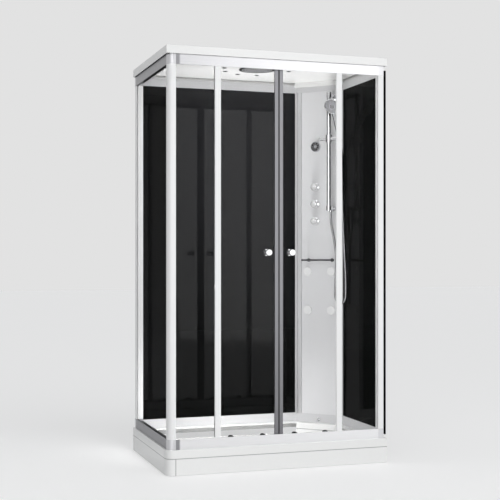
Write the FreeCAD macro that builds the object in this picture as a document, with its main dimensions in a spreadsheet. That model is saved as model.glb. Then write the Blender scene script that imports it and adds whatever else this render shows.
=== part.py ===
"""Corner steam shower cabin with a double sliding door, as a parametric document.

Millimetres. X runs right along the front, Y runs from the front to the back, Z is up.
The origin is on the floor, under the middle of the tray: the centre foot stands on it.
The clear sides are the front and the left, and the black glass walls are the back and
the right. A flat column stands across the right back corner at 45 degrees.
"""

import FreeCAD, Part
import math
import os
import re
import Sketcher
from FreeCAD import Placement, Rotation, Vector

# ------------------------------------------------------------------ driving sizes

SIZES = (
    # overall
    ("cabin_width", 1200, "width along the front"),
    ("cabin_depth", 800, "front to back"),
    ("cabin_height", 2150, "floor to the top of the roof"),
    ("wall_depth", 15, "black walls: from their inner face to the cabin's back"),
    ("fit_gap", 0.3, "clearance between pieces that move past each other"),
    ("bearing_gap", 0.05, "radial running clearance on a pin"),
    # tray
    ("tray_height", 130, "floor to the tray's outer lip"),
    ("seam_height", 86, "floor to the seam between tray and aprons"),
    ("tray_skin", 5, "thickness of the tray's shell"),
    ("tray_corner", 42, "radius of the tray's outer corner"),
    ("lip_drop", 10, "outer lip above the inner ledge"),
    ("ledge_width", 36, "inner ledge, from the walls to the basin"),
    ("basin_depth", 58, "ledge to basin floor"),
    ("basin_taper", 14, "slope of the basin's sides from upright, degrees"),
    ("basin_corner", 60, "radius of the basin's corners"),
    ("basin_fillet", 14, "radius between the basin's sides and floor"),
    ("waste_hole", 90, "hole for the waste"),
    ("waste_left", 150, "waste centre from the basin's left rim"),
    ("waste_front", 150, "waste centre from the basin's front rim"),
    ("waste_cover_diameter", 112, "domed cover of the waste"),
    ("waste_wall", 4, "wall of the waste's cup"),
    ("waste_flange_height", 2, "flange of the waste on the basin's floor"),
    ("waste_nut_height", 10, "nut of the waste under the basin"),
    ("outlet_diameter", 40, "waste outlet"),
    ("outlet_bore", 35, "bore of the waste outlet"),
    ("outlet_end", 1, "end of the waste outlet above the floor"),
    ("outlet_length", 25, "waste outlet below the waste's cup"),
    # aprons and frame
    ("apron_skin", 4, "thickness of the aprons"),
    ("apron_return", 14, "width of the aprons' folded edges"),
    ("apron_joint", 47, "joint of the aprons, from the tray's left side"),
    ("floor_gap", 3, "aprons above the floor"),
    ("frame_tube", 25, "square tube of the steel frame"),
    ("frame_inset", 122, "frame inside the tray's outline"),
    ("foot_diameter", 50, "foot plate"),
    ("foot_plate", 8, "thickness of a foot plate"),
    ("foot_bolt", 10, "threaded stem of a foot"),
    # rails
    ("rail_inset", 10, "rails inside the tray's outline"),
    ("rail_height", 51, "height of the rail extrusion"),
    ("rail_depth", 40, "depth of the rail extrusion"),
    ("rail_wall", 3, "wall of the rail extrusion"),
    ("rail_web", 2, "web between the glass groove and the door channel"),
    ("groove_width", 8, "groove of the fixed glass"),
    ("groove_floor", 25, "groove floor above the rail's base"),
    ("inner_wall", 38, "height of the rail's inner wall"),
    ("track_lip", 9, "width of the lip that the rollers run on"),
    ("end_cap", 30, "length of the rail end caps"),
    ("corner_radius", 32, "outer radius of the corner post and connectors"),
    # glass
    ("pane", 5, "thickness of the clear glass"),
    ("door_gap", 4.5, "rail web to door glass"),
    ("door_width", 345, "width of one door leaf"),
    ("door_drop", 19, "lower edge of the door glass above the rail's base"),
    ("post_width", 40, "corner post"),
    ("slot_depth", 12, "slots that hold the edges of the clear glass"),
    ("glass_entry", 11, "clear glass inside its slots"),
    ("mullion_width", 30, "profile on the free edge of the fixed glass"),
    ("mullion_overlap", 14, "door leaf behind the mullion's centre line"),
    ("wall_post_width", 30, "profile between the front glass and the right wall"),
    ("rear_post_width", 40, "profile between the side glass and the back wall"),
    ("rear_post_depth", 36, "profile between the side glass and the back wall"),
    ("rear_gap", 2, "rails and walls short of the tray's back and right edges"),
    # doors
    ("stile_width", 18, "meeting stile"),
    ("stile_depth", 12, "depth of the meeting stile"),
    ("seal_width", 3.8, "magnet seal of one leaf"),
    ("door_knob_diameter", 34, "door knob"),
    ("door_knob_depth", 14, "thickness of a door knob"),
    ("door_knob_neck", 23, "glass to door knob"),
    ("door_knob_place", 63.5, "door knob from the cabin's middle"),
    ("door_knob_height", 1116, "door knob above the floor"),
    ("roller_diameter", 24, "door roller"),
    ("roller_width", 6.5, "door roller"),
    ("axle_diameter", 6, "pin of a door roller"),
    ("carrier_width", 32, "roller carrier"),
    ("plate_depth", 4, "rear plate of a roller carrier"),
    ("roller_shoulder", 2.4, "shoulder between carrier and roller"),
    ("guide_width", 27, "lower guide block"),
    ("guide_height", 53, "lower guide block"),
    ("inner_hanger", 87, "inner carriers and guides from the cabin's middle"),
    ("outer_hanger", 258, "outer carriers and guides from the cabin's middle"),
    # black walls
    ("wall_glass", 5, "thickness of the black glass"),
    ("wall_recess", 2.5, "black glass behind the face of its profiles"),
    ("lower_band", 42, "lower wall profile above the tray's lip"),
    ("upper_band", 46, "upper wall profile below the roof"),
    ("profile_wall", 2.5, "wall of the wall profiles"),
    ("glass_foot", 20, "black glass above the foot of its lower profile"),
    ("glass_head", 24, "black glass below the head of its upper profile"),
    # column
    ("column_leg", 213, "column's ends from the walls' corner"),
    ("column_skin", 4, "thickness of the column panel"),
    ("trim_width", 41, "edge trims of the column"),
    ("trim_rib", 8, "height of a trim's rounded rib"),
    ("centre_line", 131, "controls from the column's left end"),
    ("panel_height", 1740, "control panel above the floor"),
    ("panel_diameter", 62, "control panel"),
    ("panel_rim", 10, "control panel's projection"),
    ("display_diameter", 49, "dark face of the control panel"),
    ("button_diameter", 20, "push button of the control panel"),
    ("button_travel", 1.5, "travel of the push button"),
    ("knob_height", 1403, "middle knob above the floor"),
    ("knob_pitch", 100, "distance between the knobs"),
    ("escutcheon_diameter", 52, "plate behind a knob"),
    ("escutcheon_depth", 6, "plate behind a knob"),
    ("knob_diameter", 38, "control knob"),
    ("knob_depth", 32, "control knob"),
    ("spindle_diameter", 10, "spindle of a knob"),
    ("jet_line", 154, "middle of the jets from the column's left end"),
    ("jet_offset", 75, "jets from their middle"),
    ("jet_upper", 1008, "upper jets above the floor"),
    ("jet_lower", 782, "lower jets above the floor"),
    ("jet_diameter", 53, "jet's white ring"),
    ("jet_depth", 6, "jet's white ring"),
    ("jet_cup", 42, "jet's cup behind the panel"),
    ("jet_cup_depth", 23, "jet's cup behind the panel"),
    ("nozzle_face", 9, "jet's flat face from the ball's centre"),
    ("nozzle_ball", 34, "jet's ball"),
    ("towel_height", 1075, "towel bar above the floor"),
    ("towel_bar_diameter", 10, "towel bar"),
    ("towel_bar_length", 196, "towel bar"),
    ("towel_standoff", 40, "towel bar from the panel"),
    ("towel_post_pitch", 148, "distance between the towel bar's posts"),
    ("towel_shift", 29, "middle of the towel bar right of the controls"),
    # slide bar, handset and hose
    ("bar_line", 241, "slide bar from the column's left end"),
    ("bar_diameter", 25, "slide bar"),
    ("bar_standoff", 64, "slide bar from the panel"),
    ("bar_drop", 415, "slide bar's lower end below the slider"),
    ("bar_length", 684, "slide bar"),
    ("bracket_inset", 14, "brackets from the bar's ends"),
    ("bracket_diameter", 22, "bracket arm"),
    ("outlet_standoff", 36, "hose outlet from the panel"),
    ("outlet_drop", 424, "hose outlet below the slider"),
    ("slider_drop", 332, "slider below the roof's base"),
    ("slider_reach", 56, "slider's lock knob from the bar"),
    ("arm_diameter", 24, "cross arm of the slider"),
    ("holder_reach", 64, "handset holder from the bar"),
    ("holder_lean", 28, "handset from upright, degrees"),
    ("holder_length", 40, "cone that holds the handset"),
    ("holder_width", 44, "holder's barrel and cone along the cross arm"),
    ("holder_pin", 10, "pin that the holder turns on"),
    ("slider_length", 44, "slider's collar"),
    ("handle_diameter", 23, "handset's handle"),
    ("head_diameter", 92, "handset's spray head"),
    ("head_reach", 199, "spray head from the holder"),
    ("head_depth", 24, "handset's spray head"),
    ("nut_length", 22, "handset's hose nut, from the holder down"),
    ("hose_diameter", 14, "shower hose"),
    # roof
    ("roof_height", 42, "edge of the roof"),
    ("roof_skin", 4, "thickness of the roof"),
    ("ceiling_drop", 27, "ceiling below the roof's top"),
    ("ceiling_lip", 29, "edge of the ceiling"),
    ("ceiling_skin", 3, "thickness of the ceiling"),
    ("shower_diameter", 200, "overhead shower"),
    ("spot_count", 10, "round fittings in the ceiling"),
    ("spot_ring", 370, "circle of the round fittings"),
    ("spot_diameter", 28, "round fitting in the ceiling"),
    ("spot_stem", 22, "round fitting's stem"),
    ("shower_right", 10, "overhead shower right of the cabin's middle"),
    ("shower_back", 14, "overhead shower behind the cabin's middle"),
    # services behind the column
    ("manifold_width", 36, "mixer manifold"),
    ("manifold_length", 268, "mixer manifold"),
    ("manifold_front", 14, "mixer manifold behind the walls' face"),
    ("inlet_diameter", 20.8, "hot and cold inlets"),
    ("inlet_length", 14, "hot and cold inlets"),
    ("pipe_diameter", 12, "water pipes"),
    ("generator_gap", 4, "steam generator behind the panel"),
    ("generator_width", 120, "steam generator"),
    ("generator_depth", 72, "steam generator"),
    ("generator_height", 360, "steam generator"),
    ("generator_foot", 330, "steam generator above the floor"),
    ("steam_diameter", 18, "steam outlet"),
    ("steam_height", 140, "steam outlet above the floor"),
)

# places that follow from the sizes; each may use the ones above it
PLACES = (
    ("left", "-cabin_width / 2"),
    ("right", "cabin_width / 2"),
    ("front", "-cabin_depth / 2"),
    ("back", "cabin_depth / 2"),
    ("rail_left", "left + rail_inset"),
    ("rail_front", "front + rail_inset"),
    ("rail_top", "tray_height + rail_height"),
    ("roof_base", "cabin_height - roof_height"),
    ("upper_rail", "roof_base - rail_height"),
    ("back_face", "back - wall_depth"),
    ("right_face", "right - wall_depth"),
    ("black_back", "back_face + wall_recess"),
    ("black_right", "right_face + wall_recess"),
    ("pane_inset", "rail_wall + (groove_width - pane) / 2"),
    ("web_back", "rail_wall + groove_width + rail_web"),
    ("door_inset", "web_back + door_gap"),
    ("channel_back", "rail_depth - rail_wall"),
    ("lip_edge", "channel_back - track_lip"),
    ("rail_right", "right_face - fit_gap"),
    ("cap_left", "rail_right - end_cap"),
    ("cap_front", "back - rear_gap - end_cap"),
    ("rear_post_front", "back - rear_gap - rear_post_depth"),
    ("mullion_place", "door_width - mullion_overlap"),
    ("ledge_top", "tray_height - lip_drop"),
    ("basin_base", "ledge_top - basin_depth"),
    ("basin_left", "rail_left + rail_depth + ledge_width"),
    ("basin_front", "rail_front + rail_depth + ledge_width"),
    ("basin_right", "right_face - ledge_width"),
    ("basin_back", "back_face - ledge_width"),
    ("waste_x", "basin_left + waste_left"),
    ("waste_y", "basin_front + waste_front"),
    ("waste_base", "outlet_end + outlet_length"),
    ("ceiling", "cabin_height - ceiling_drop"),
    ("overhead_axis", "cabin_height - roof_skin - 3 - pipe_diameter / 2"),
    ("slider_height", "roof_base - slider_drop"),
    ("bar_bottom", "slider_height - bar_drop"),
    ("hose_outlet", "slider_height - outlet_drop"),
    ("lip_base", "ceiling - ceiling_lip"),
    ("column_x", "right_face - column_leg"),
    ("column_length", "column_leg * sqrt(2)"),
    ("jet_rear", "wall_recess + jet_cup_depth"),
    ("lower_face", "tray_height + lower_band"),
    ("upper_face", "roof_base - upper_band"),
    ("wall_glass_base", "tray_height + glass_foot"),
    ("wall_glass_top", "roof_base - glass_head"),
    ("wall_glass_height", "wall_glass_top - wall_glass_base"),
    ("door_base", "tray_height + door_drop"),
    ("door_top", "roof_base - door_drop"),
    ("track_height", "roof_base - inner_wall + rail_wall"),
    ("roller_height", "track_height + roller_diameter / 2 + bearing_gap"),
)

# ------------------------------------------------------------------ document and sheet

document = FreeCAD.newDocument("ShowerCabin")
sheet = document.addObject("Spreadsheet::Sheet", "Sizes")
ALIASES = [row[0] for row in SIZES] + [row[0] for row in PLACES]
pieces = []


def fill_sheet():
    """One row per size: what it is, its value. The places follow as formulas."""
    rows = [(alias, str(value), note) for alias, value, note in SIZES]
    rows += [(alias, "=" + formula, "follows") for alias, formula in PLACES]
    for row, (alias, text, note) in enumerate(rows, start=1):
        sheet.set(f"A{row}", note)
        sheet.set(f"B{row}", text)
        sheet.setAlias(f"B{row}", alias)
    document.recompute()


def cells(text):
    """An expression in which each alias is written as a cell of the sheet."""
    return re.sub(r"[a-z_]+", lambda m: "Sizes." + m[0] if m[0] in ALIASES else m[0], text)


def value(text):
    """The number that an expression of aliases gives now."""
    return float(sheet.evalExpression(cells(text)))


# ------------------------------------------------------------------ building blocks

UPRIGHT = Rotation()
TURNS = {  # where the local X, Y and Z of a profile point
    "along front": Rotation(Vector(0, 1, 0), Vector(0, 0, 1), Vector(1, 0, 0)),
    "along front, hung": Rotation(Vector(0, 1, 0), Vector(0, 0, -1), Vector(-1, 0, 0)),
    "along side": Rotation(Vector(1, 0, 0), Vector(0, 0, 1), Vector(0, -1, 0)),
    "along side, hung": Rotation(Vector(1, 0, 0), Vector(0, 0, -1), Vector(0, 1, 0)),
}
DIRECTIONS = {
    "right": Vector(1, 0, 0),
    "left": Vector(-1, 0, 0),
    "back": Vector(0, 1, 0),
    "front": Vector(0, -1, 0),
    "up": Vector(0, 0, 1),
    "down": Vector(0, 0, -1),
}


def put(item, place, turn=UPRIGHT):
    """Places an item at three expressions, with a fixed turn."""
    item.Placement = Placement(Vector(), turn)
    for axis, text in zip("xyz", place):
        item.setExpression(f".Placement.Base.{axis}", cells(text))
    return item


def box(name, place, length, width, height):
    item = document.addObject("Part::Box", name)
    item.setExpression("Length", cells(length))
    item.setExpression("Width", cells(width))
    item.setExpression("Height", cells(height))
    return put(item, place)


def rod(name, place, diameter, length, towards="up"):
    item = document.addObject("Part::Cylinder", name)
    item.setExpression("Radius", cells(f"({diameter}) / 2"))
    item.setExpression("Height", cells(length))
    return put(item, place, Rotation(Vector(0, 0, 1), DIRECTIONS[towards]))


def cone(name, place, first, second, length, towards="up"):
    """A cone from its first diameter to its second."""
    item = document.addObject("Part::Cone", name)
    item.setExpression("Radius1", cells(f"({first}) / 2"))
    item.setExpression("Radius2", cells(f"({second}) / 2"))
    item.setExpression("Height", cells(length))
    return put(item, place, Rotation(Vector(0, 0, 1), DIRECTIONS[towards]))


def ball(name, place, diameter):
    item = document.addObject("Part::Sphere", name)
    item.setExpression("Radius", cells(f"({diameter}) / 2"))
    return put(item, place)


def join(name, *items):
    item = document.addObject("Part::MultiFuse", name)
    item.Shapes = list(items)
    return item


def cut(name, base, *tools):
    item = document.addObject("Part::Cut", name)
    item.Base = base
    item.Tool = tools[0] if len(tools) == 1 else join(name + "_tools", *tools)
    return item


def common(name, first, second):
    item = document.addObject("Part::Common", name)
    item.Base = first
    item.Tool = second
    return item


def group(name, *items):
    """Separate solids that share one node."""
    item = document.addObject("Part::Compound", name)
    item.Links = list(items)
    return item


def mirrored(name, source):
    """The same piece on the other side of the cabin's middle."""
    item = document.addObject("Part::Mirroring", name)
    item.Source = source
    item.Normal = Vector(1, 0, 0)
    return item


def rounded(name, base, radius, chosen):
    """Fillets the edges for which chosen(edge) is true."""
    document.recompute()
    item = document.addObject("Part::Fillet", name)
    item.Base = base
    size = value(radius)
    edges = enumerate(base.Shape.Edges, start=1)
    item.Edges = [(index, size, size) for index, edge in edges if chosen(edge)]
    return item


def upright_at(x, y):
    """Chooses the upright edges through a point of the plan."""
    spot = Vector(value(x), value(y), 0)

    def chosen(edge):
        middle = edge.CenterOfMass
        flat = Vector(middle.x, middle.y, 0)
        upright = edge.BoundBox.ZLength > edge.BoundBox.DiagonalLength * 0.99
        return upright and flat.distanceToPoint(spot) < 0.5

    return chosen


def steep(edge):
    """Chooses the edges that climb."""
    return edge.BoundBox.ZLength > edge.BoundBox.DiagonalLength * 0.5


def level_at(height):
    """Chooses the edges that lie level at one height."""
    level = value(height)
    return lambda edge: edge.BoundBox.ZLength < 0.01 and abs(edge.CenterOfMass.z - level) < 0.01


def around(axis, depth):
    """Chooses the whole circles in the plane where one coordinate has a given value."""
    level = value(depth)

    def chosen(edge):
        if not isinstance(edge.Curve, Part.Circle):
            return False
        return abs(getattr(edge.CenterOfMass, axis) - level) < 0.01

    return chosen


def draw(sketch, loop):
    """Adds a closed outline whose corners are bound to the sheet."""
    count = len(loop)
    start = sketch.GeometryCount
    numbers = [Vector(value(x), value(y), 0) for x, y in loop]
    for index in range(count):
        sketch.addGeometry(Part.LineSegment(numbers[index], numbers[(index + 1) % count]))
    for index in range(count):
        following = start + (index + 1) % count
        sketch.addConstraint(Sketcher.Constraint("Coincident", start + index, 2, following, 1))
    for index, corner in enumerate(loop):
        for kind, text, number in zip(("DistanceX", "DistanceY"), corner, numbers[index]):
            rule = Sketcher.Constraint(kind, -1, 1, start + index, 1, number)
            sketch.setExpression(f"Constraints[{sketch.addConstraint(rule)}]", cells(text))


def extrusion(name, loops, length, place, turn=UPRIGHT, taper=None, down=False):
    """A body padded from one outline, with any holes as further outlines."""
    body = document.addObject("PartDesign::Body", name)
    sketch = body.newObject("Sketcher::SketchObject", name + "_outline")
    plane = [plane for plane in body.Origin.OriginFeatures if plane.Role == "XY_Plane"][0]
    sketch.AttachmentSupport = [(plane, "")]
    sketch.MapMode = "FlatFace"
    for loop in loops:
        draw(sketch, loop)
    pad = body.newObject("PartDesign::Pad", name + "_pad")
    pad.Profile = sketch
    pad.setExpression("Length", cells(length))
    pad.Reversed = down
    if taper:
        pad.setExpression("TaperAngle", cells(taper))
    return put(body, place, turn)


def rectangle(x, y, width, depth):
    """The corners of a rectangle from its first corner."""
    return [(x, y), (f"{x} + {width}", y), (f"{x} + {width}", f"{y} + {depth}"), (x, f"{y} + {depth}")]


def publish(name, item):
    """Makes an item a sub-part under the name that its file gets."""
    item.Label = name
    pieces.append(item)
    return item


def on_column(name, *items):
    """A sub-part drawn against the column: X along it, Y into the corner behind it."""
    item = group(name, *items)
    put(item, ("column_x", "back_face", "0"), Rotation(Vector(0, 0, 1), -45))
    return publish(name, item)


# ------------------------------------------------------------------ tray


def clear_area(name, inset, height, length, taper=None, down=False):
    """The plan inside the walls and the column, drawn in by an inset."""
    near = f"rail_left + rail_depth + {inset}"
    fore = f"rail_front + rail_depth + {inset}"
    right_side = f"right_face - {inset}"
    rear = f"back_face - {inset}"
    diagonal = f"right_face + back_face - column_leg - ({inset}) * sqrt(2)"
    loop = [
        (near, fore),
        (right_side, fore),
        (right_side, f"{diagonal} - ({right_side})"),
        (f"{diagonal} - ({rear})", rear),
        (near, rear),
    ]
    return extrusion(name, [loop], length, ("0", "0", height), taper=taper, down=down)


def edge_block(name, inset, base, top, radius):
    """A block over the tray's plan, with the front left corner rounded."""
    block = box(
        name + "_block",
        (f"left + {inset}", f"front + {inset}", base),
        f"cabin_width - 2 * ({inset})",
        f"cabin_depth - 2 * ({inset})",
        f"{top} - ({base})",
    )
    return rounded(name, block, radius, upright_at(f"left + {inset}", f"front + {inset}"))


def basin(name, inset, base, depth, radius):
    """The basin's hollow, or the outside of its shell."""
    hollow = clear_area(name + "_block", inset, base, depth, taper="-basin_taper", down=True)
    return rounded(name, hollow, radius, steep)


def build_tray():
    rim = edge_block("tray_rim", "0", "seam_height", "tray_height", "tray_corner")
    under = edge_block(
        "tray_under", "tray_skin", "seam_height", "ledge_top - tray_skin", "tray_corner - tray_skin"
    )
    ledge = clear_area("tray_ledge", "-profile_wall", "ledge_top", "lip_drop")
    shell = basin(
        "basin_shell",
        "ledge_width - tray_skin",
        "ledge_top",
        "basin_depth + tray_skin",
        "basin_corner + tray_skin",
    )
    hollow = rounded(
        "basin_hollow",
        basin("basin_inside", "ledge_width", "ledge_top", "basin_depth", "basin_corner"),
        "basin_fillet",
        level_at("basin_base"),
    )
    hole = rod("waste_hole_tool", ("waste_x", "waste_y", "0"), "waste_hole", "ledge_top")
    edge = cut("tray_edge", rim, under, ledge)
    publish("shower_tray", cut("shower_tray", join("tray_solid", edge, shell), hollow, hole))


def build_aprons():
    top = "seam_height"
    outside = edge_block("apron_outside", "0", "floor_gap", top, "tray_corner")
    inside = edge_block(
        "apron_inside",
        "apron_skin",
        "floor_gap + apron_skin",
        "seam_height - apron_skin",
        "tray_corner - apron_skin",
    )
    throat = edge_block(
        "apron_throat", "apron_return", "floor_gap - 1", "seam_height + 1", "tray_corner - apron_return"
    )
    ring = cut("apron_ring", outside, inside, throat)
    rear_cut = box(
        "apron_rear_tool",
        ("left + apron_return", "front + apron_return", "0"),
        "cabin_width",
        "cabin_depth",
        "tray_height",
    )
    open_rear = cut("apron_open", ring, rear_cut)
    side_zone = box("side_zone", ("left", "front", "0"), "apron_joint - 0.1", "cabin_depth", "tray_height")
    front_zone = box(
        "front_zone",
        ("left + apron_joint + 0.1", "front", "0"),
        "cabin_width - apron_joint",
        "apron_return",
        "tray_height",
    )
    publish("side_apron", common("side_apron", open_rear, side_zone))
    publish("front_apron", common("front_apron", open_rear, front_zone))


def frame_tube(name, place, length, width):
    """A square tube, closed at its ends, lying level."""
    return box(name, place, length, width, "frame_tube")


def build_frame():
    base = "basin_base - tray_skin - frame_tube"
    span_x = "cabin_width - 2 * frame_inset"
    span_y = "cabin_depth - 2 * frame_inset"
    x0 = "left + frame_inset"
    y0 = "front + frame_inset"
    middle = "-frame_tube / 2"
    tubes = [
        frame_tube("frame_front", (x0, y0, base), span_x, "frame_tube"),
        frame_tube("frame_back", (x0, f"-({y0}) - frame_tube", base), span_x, "frame_tube"),
        frame_tube("frame_left", (x0, y0, base), "frame_tube", span_y),
        frame_tube("frame_right", (f"-({x0}) - frame_tube", y0, base), "frame_tube", span_y),
        frame_tube("frame_centre", (middle, y0, base), "frame_tube", span_y),
    ]
    publish("tray_frame", join("tray_frame", *tubes))
    reach_x = "cabin_width / 2 - frame_inset - frame_tube / 2"
    reach_y = "cabin_depth / 2 - frame_inset - frame_tube / 2"
    feet = []
    for across in (-1, 0, 1):
        for along in (-1, 0, 1):
            x = f"{across} * ({reach_x})"
            y = f"{along} * ({reach_y})"
            name = f"foot_{len(feet)}"
            plate = rod(name + "_plate", (x, y, "0"), "foot_diameter", "foot_plate / 2")
            dome = cone(
                name + "_dome", (x, y, "foot_plate / 2"), "foot_diameter", "foot_bolt * 2", "foot_plate / 2"
            )
            stem = rod(name + "_stem", (x, y, "foot_plate"), "foot_bolt", f"{base} - foot_plate")
            nut = rod(name + "_nut", (x, y, f"{base} - 6"), "foot_bolt * 1.8", "6")
            feet.append(join(name, plate, dome, stem, nut))
    publish("levelling_feet", group("levelling_feet", *feet))


def build_waste():
    cup_diameter = "waste_hole - 6"
    cup = rod("waste_cup", ("waste_x", "waste_y", "waste_base"), cup_diameter, "basin_base - waste_base")
    spigot = rod("waste_spigot", ("waste_x", "waste_y", "outlet_end"), "outlet_diameter", "outlet_length + 1")
    flange = rod(
        "waste_flange", ("waste_x", "waste_y", "basin_base"), "waste_cover_diameter - 4", "waste_flange_height"
    )
    nut_base = "basin_base - tray_skin - waste_nut_height"
    nut = rod("waste_nut", ("waste_x", "waste_y", nut_base), "waste_hole + 20", "waste_nut_height")
    inside = rod(
        "waste_inside",
        ("waste_x", "waste_y", "waste_base + waste_wall"),
        f"{cup_diameter} - 2 * waste_wall",
        "basin_base",
    )
    bore = rod("waste_bore", ("waste_x", "waste_y", "0"), "outlet_bore", "basin_base")
    body = join("waste_body", cup, flange, nut, spigot)
    publish("waste_trap", cut("waste_trap", body, inside, bore))
    seat = "basin_base + waste_flange_height + fit_gap"
    disc = rod("cover_disc", ("waste_x", "waste_y", seat), "waste_cover_diameter", "2")
    dome = cone(
        "cover_dome",
        ("waste_x", "waste_y", f"{seat} + 2"),
        "waste_cover_diameter",
        "waste_cover_diameter * 0.6",
        "5",
    )
    publish("waste_cover", join("waste_cover", disc, dome))


# ------------------------------------------------------------------ rails, posts and clear glass


def rail(name, length, place, turn):
    """The extrusion of all four rails: glass groove in front, door channel behind.

    X is the depth from the outer face and Y the height above the rail's base.
    """
    groove_back = "rail_wall + groove_width"
    section = [
        ("0", "0"),
        ("0", "rail_height"),
        ("rail_wall", "rail_height"),
        ("rail_wall", "groove_floor"),
        (groove_back, "groove_floor"),
        (groove_back, "rail_height - rail_web"),
        ("web_back", "rail_height - rail_web"),
        ("web_back", "rail_wall"),
        ("channel_back", "rail_wall"),
        ("channel_back", "inner_wall - rail_wall"),
        ("lip_edge", "inner_wall - rail_wall"),
        ("lip_edge", "inner_wall"),
        ("rail_depth", "inner_wall"),
        ("rail_depth", "0"),
    ]
    chamber = rectangle("rail_wall", "rail_wall", "groove_width", "groove_floor - 2 * rail_wall")
    return extrusion(name, [section, chamber], length, place, turn)


def build_rails():
    corner_x = "rail_left + rail_depth"
    corner_y = "rail_front + rail_depth"
    front_length = f"cap_left - ({corner_x})"
    side_length = f"cap_front - ({corner_y})"
    lower = group(
        "bottom_rails",
        rail(
            "bottom_rail_front", front_length, (corner_x, "rail_front", "tray_height"), TURNS["along front"]
        ),
        rail("bottom_rail_side", side_length, ("rail_left", "cap_front", "tray_height"), TURNS["along side"]),
    )
    upper = group(
        "top_rails",
        rail(
            "top_rail_front",
            front_length,
            ("cap_left", "rail_front", "roof_base"),
            TURNS["along front, hung"],
        ),
        rail("top_rail_side", side_length, ("rail_left", corner_y, "roof_base"), TURNS["along side, hung"]),
    )
    publish("bottom_rails", lower)
    publish("top_rails", upper)


def pane_slot(name, place, length, width, base):
    """The room that a rail's glass groove needs in the connectors at its ends."""
    return box(name, (*place, base), length, width, "rail_height - groove_floor + 1")


def build_connectors():
    groove = "pane_inset - 0.1"
    width = "pane + 0.2"
    entry = "post_width - glass_entry - fit_gap"
    front_length = f"rail_right - wall_post_width + glass_entry + fit_gap - (rail_left + {entry})"
    side_length = f"rear_post_front + glass_entry + fit_gap - (rail_front + {entry})"
    solids = []
    levels = (("bottom", "tray_height", "tray_height + groove_floor"), ("top", "upper_rail", "upper_rail - 1"))
    for level, base, slot_base in levels:
        block = box(
            f"{level}_corner_block",
            ("rail_left", "rail_front", base),
            "rail_depth",
            "rail_depth",
            "rail_height",
        )
        corner = rounded(f"{level}_corner", block, "corner_radius", upright_at("rail_left", "rail_front"))
        socket = box(
            f"{level}_socket",
            ("rail_left + rail_depth / 2", "rail_front + rail_depth / 2", base),
            "rail_depth / 2 - rail_wall",
            "rail_depth / 2 - rail_wall",
            "rail_height",
        )
        front_slot = pane_slot(
            f"{level}_front_slot",
            (f"rail_left + {entry}", f"rail_front + {groove}"),
            front_length,
            width,
            slot_base,
        )
        side_slot = pane_slot(
            f"{level}_side_slot",
            (f"rail_left + {groove}", f"rail_front + {entry}"),
            width,
            side_length,
            slot_base,
        )
        right_cap = box(
            f"{level}_right_cap", ("cap_left", "rail_front", base), "end_cap", "rail_depth", "rail_height"
        )
        rear_cap = box(
            f"{level}_rear_cap", ("rail_left", "cap_front", base), "rail_depth", "end_cap", "rail_height"
        )
        solids.append(cut(f"{level}_connector", corner, socket, front_slot, side_slot))
        solids.append(cut(f"{level}_right_end", right_cap, front_slot))
        solids.append(cut(f"{level}_rear_end", rear_cap, side_slot))
    publish("rail_connectors", group("rail_connectors", *solids))


def build_posts():
    length = "upper_rail - rail_top"
    slot_start = "pane_inset - 0.1"
    slot_end = "pane_inset + pane + 0.1"
    inner = "web_back"
    far = "post_width - rail_wall"
    section = [
        ("0", "0"),
        ("post_width", "0"),
        ("post_width", slot_start),
        ("post_width - slot_depth", slot_start),
        ("post_width - slot_depth", slot_end),
        ("post_width", slot_end),
        ("post_width", "post_width"),
        (slot_end, "post_width"),
        (slot_end, "post_width - slot_depth"),
        (slot_start, "post_width - slot_depth"),
        (slot_start, "post_width"),
        ("0", "post_width"),
    ]
    chamber = [(inner, inner), (far, inner), (far, far), (inner, far)]
    corner = ("rail_left", "rail_front", "rail_top")
    post = extrusion("corner_post_profile", [section, chamber], length, corner)
    publish(
        "corner_post", rounded("corner_post", post, "corner_radius", upright_at("rail_left", "rail_front"))
    )

    width = "wall_post_width"
    depth = "channel_back"
    section = [
        ("0", "1"),
        (width, "1"),
        (width, depth),
        ("0", depth),
        ("0", slot_end),
        ("slot_depth", slot_end),
        ("slot_depth", slot_start),
        ("0", slot_start),
    ]
    chamber = rectangle("slot_depth + 2", "4", f"{width} - slot_depth - 5", f"{depth} - 7")
    place = ("rail_right - wall_post_width", "rail_front", "rail_top")
    right_post = extrusion("front_wall_post", [section, chamber], length, place)

    width = "rear_post_width"
    depth = "back - rear_gap - rear_post_front"
    section = [
        ("2", "0"),
        (slot_start, "0"),
        (slot_start, "slot_depth"),
        (slot_end, "slot_depth"),
        (slot_end, "0"),
        (f"{width} / 2 + 2", "0"),
        (f"{width} / 2 + 2", "6"),
        (width, "6"),
        (width, depth),
        ("2", depth),
    ]
    chamber = rectangle("5", "slot_depth + 3", f"{width} - 8", f"{depth} - slot_depth - 6")
    rear_post = extrusion(
        "rear_wall_post", [section, chamber], length, ("rail_left", "rear_post_front", "rail_top")
    )
    publish("wall_posts", group("wall_posts", right_post, rear_post))


def build_clear_glass():
    base = "tray_height + groove_floor"
    height = "roof_base - groove_floor - 1 - (tray_height + groove_floor)"
    y = "rail_front + pane_inset"
    start = "rail_left + post_width - glass_entry"
    free_edge = "mullion_place + mullion_width / 2 - glass_entry"
    left_pane = box("front_pane_left", (start, y, base), f"-({free_edge}) - ({start})", "pane", height)
    end = "rail_right - wall_post_width + glass_entry"
    right_pane = box("front_pane_right", (free_edge, y, base), f"{end} - ({free_edge})", "pane", height)
    publish("front_glass", group("front_glass", left_pane, right_pane))
    start = "rail_front + post_width - glass_entry"
    length = f"rear_post_front + glass_entry - ({start})"
    publish("side_glass", box("side_glass", ("rail_left + pane_inset", start, base), "pane", length, height))


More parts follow.
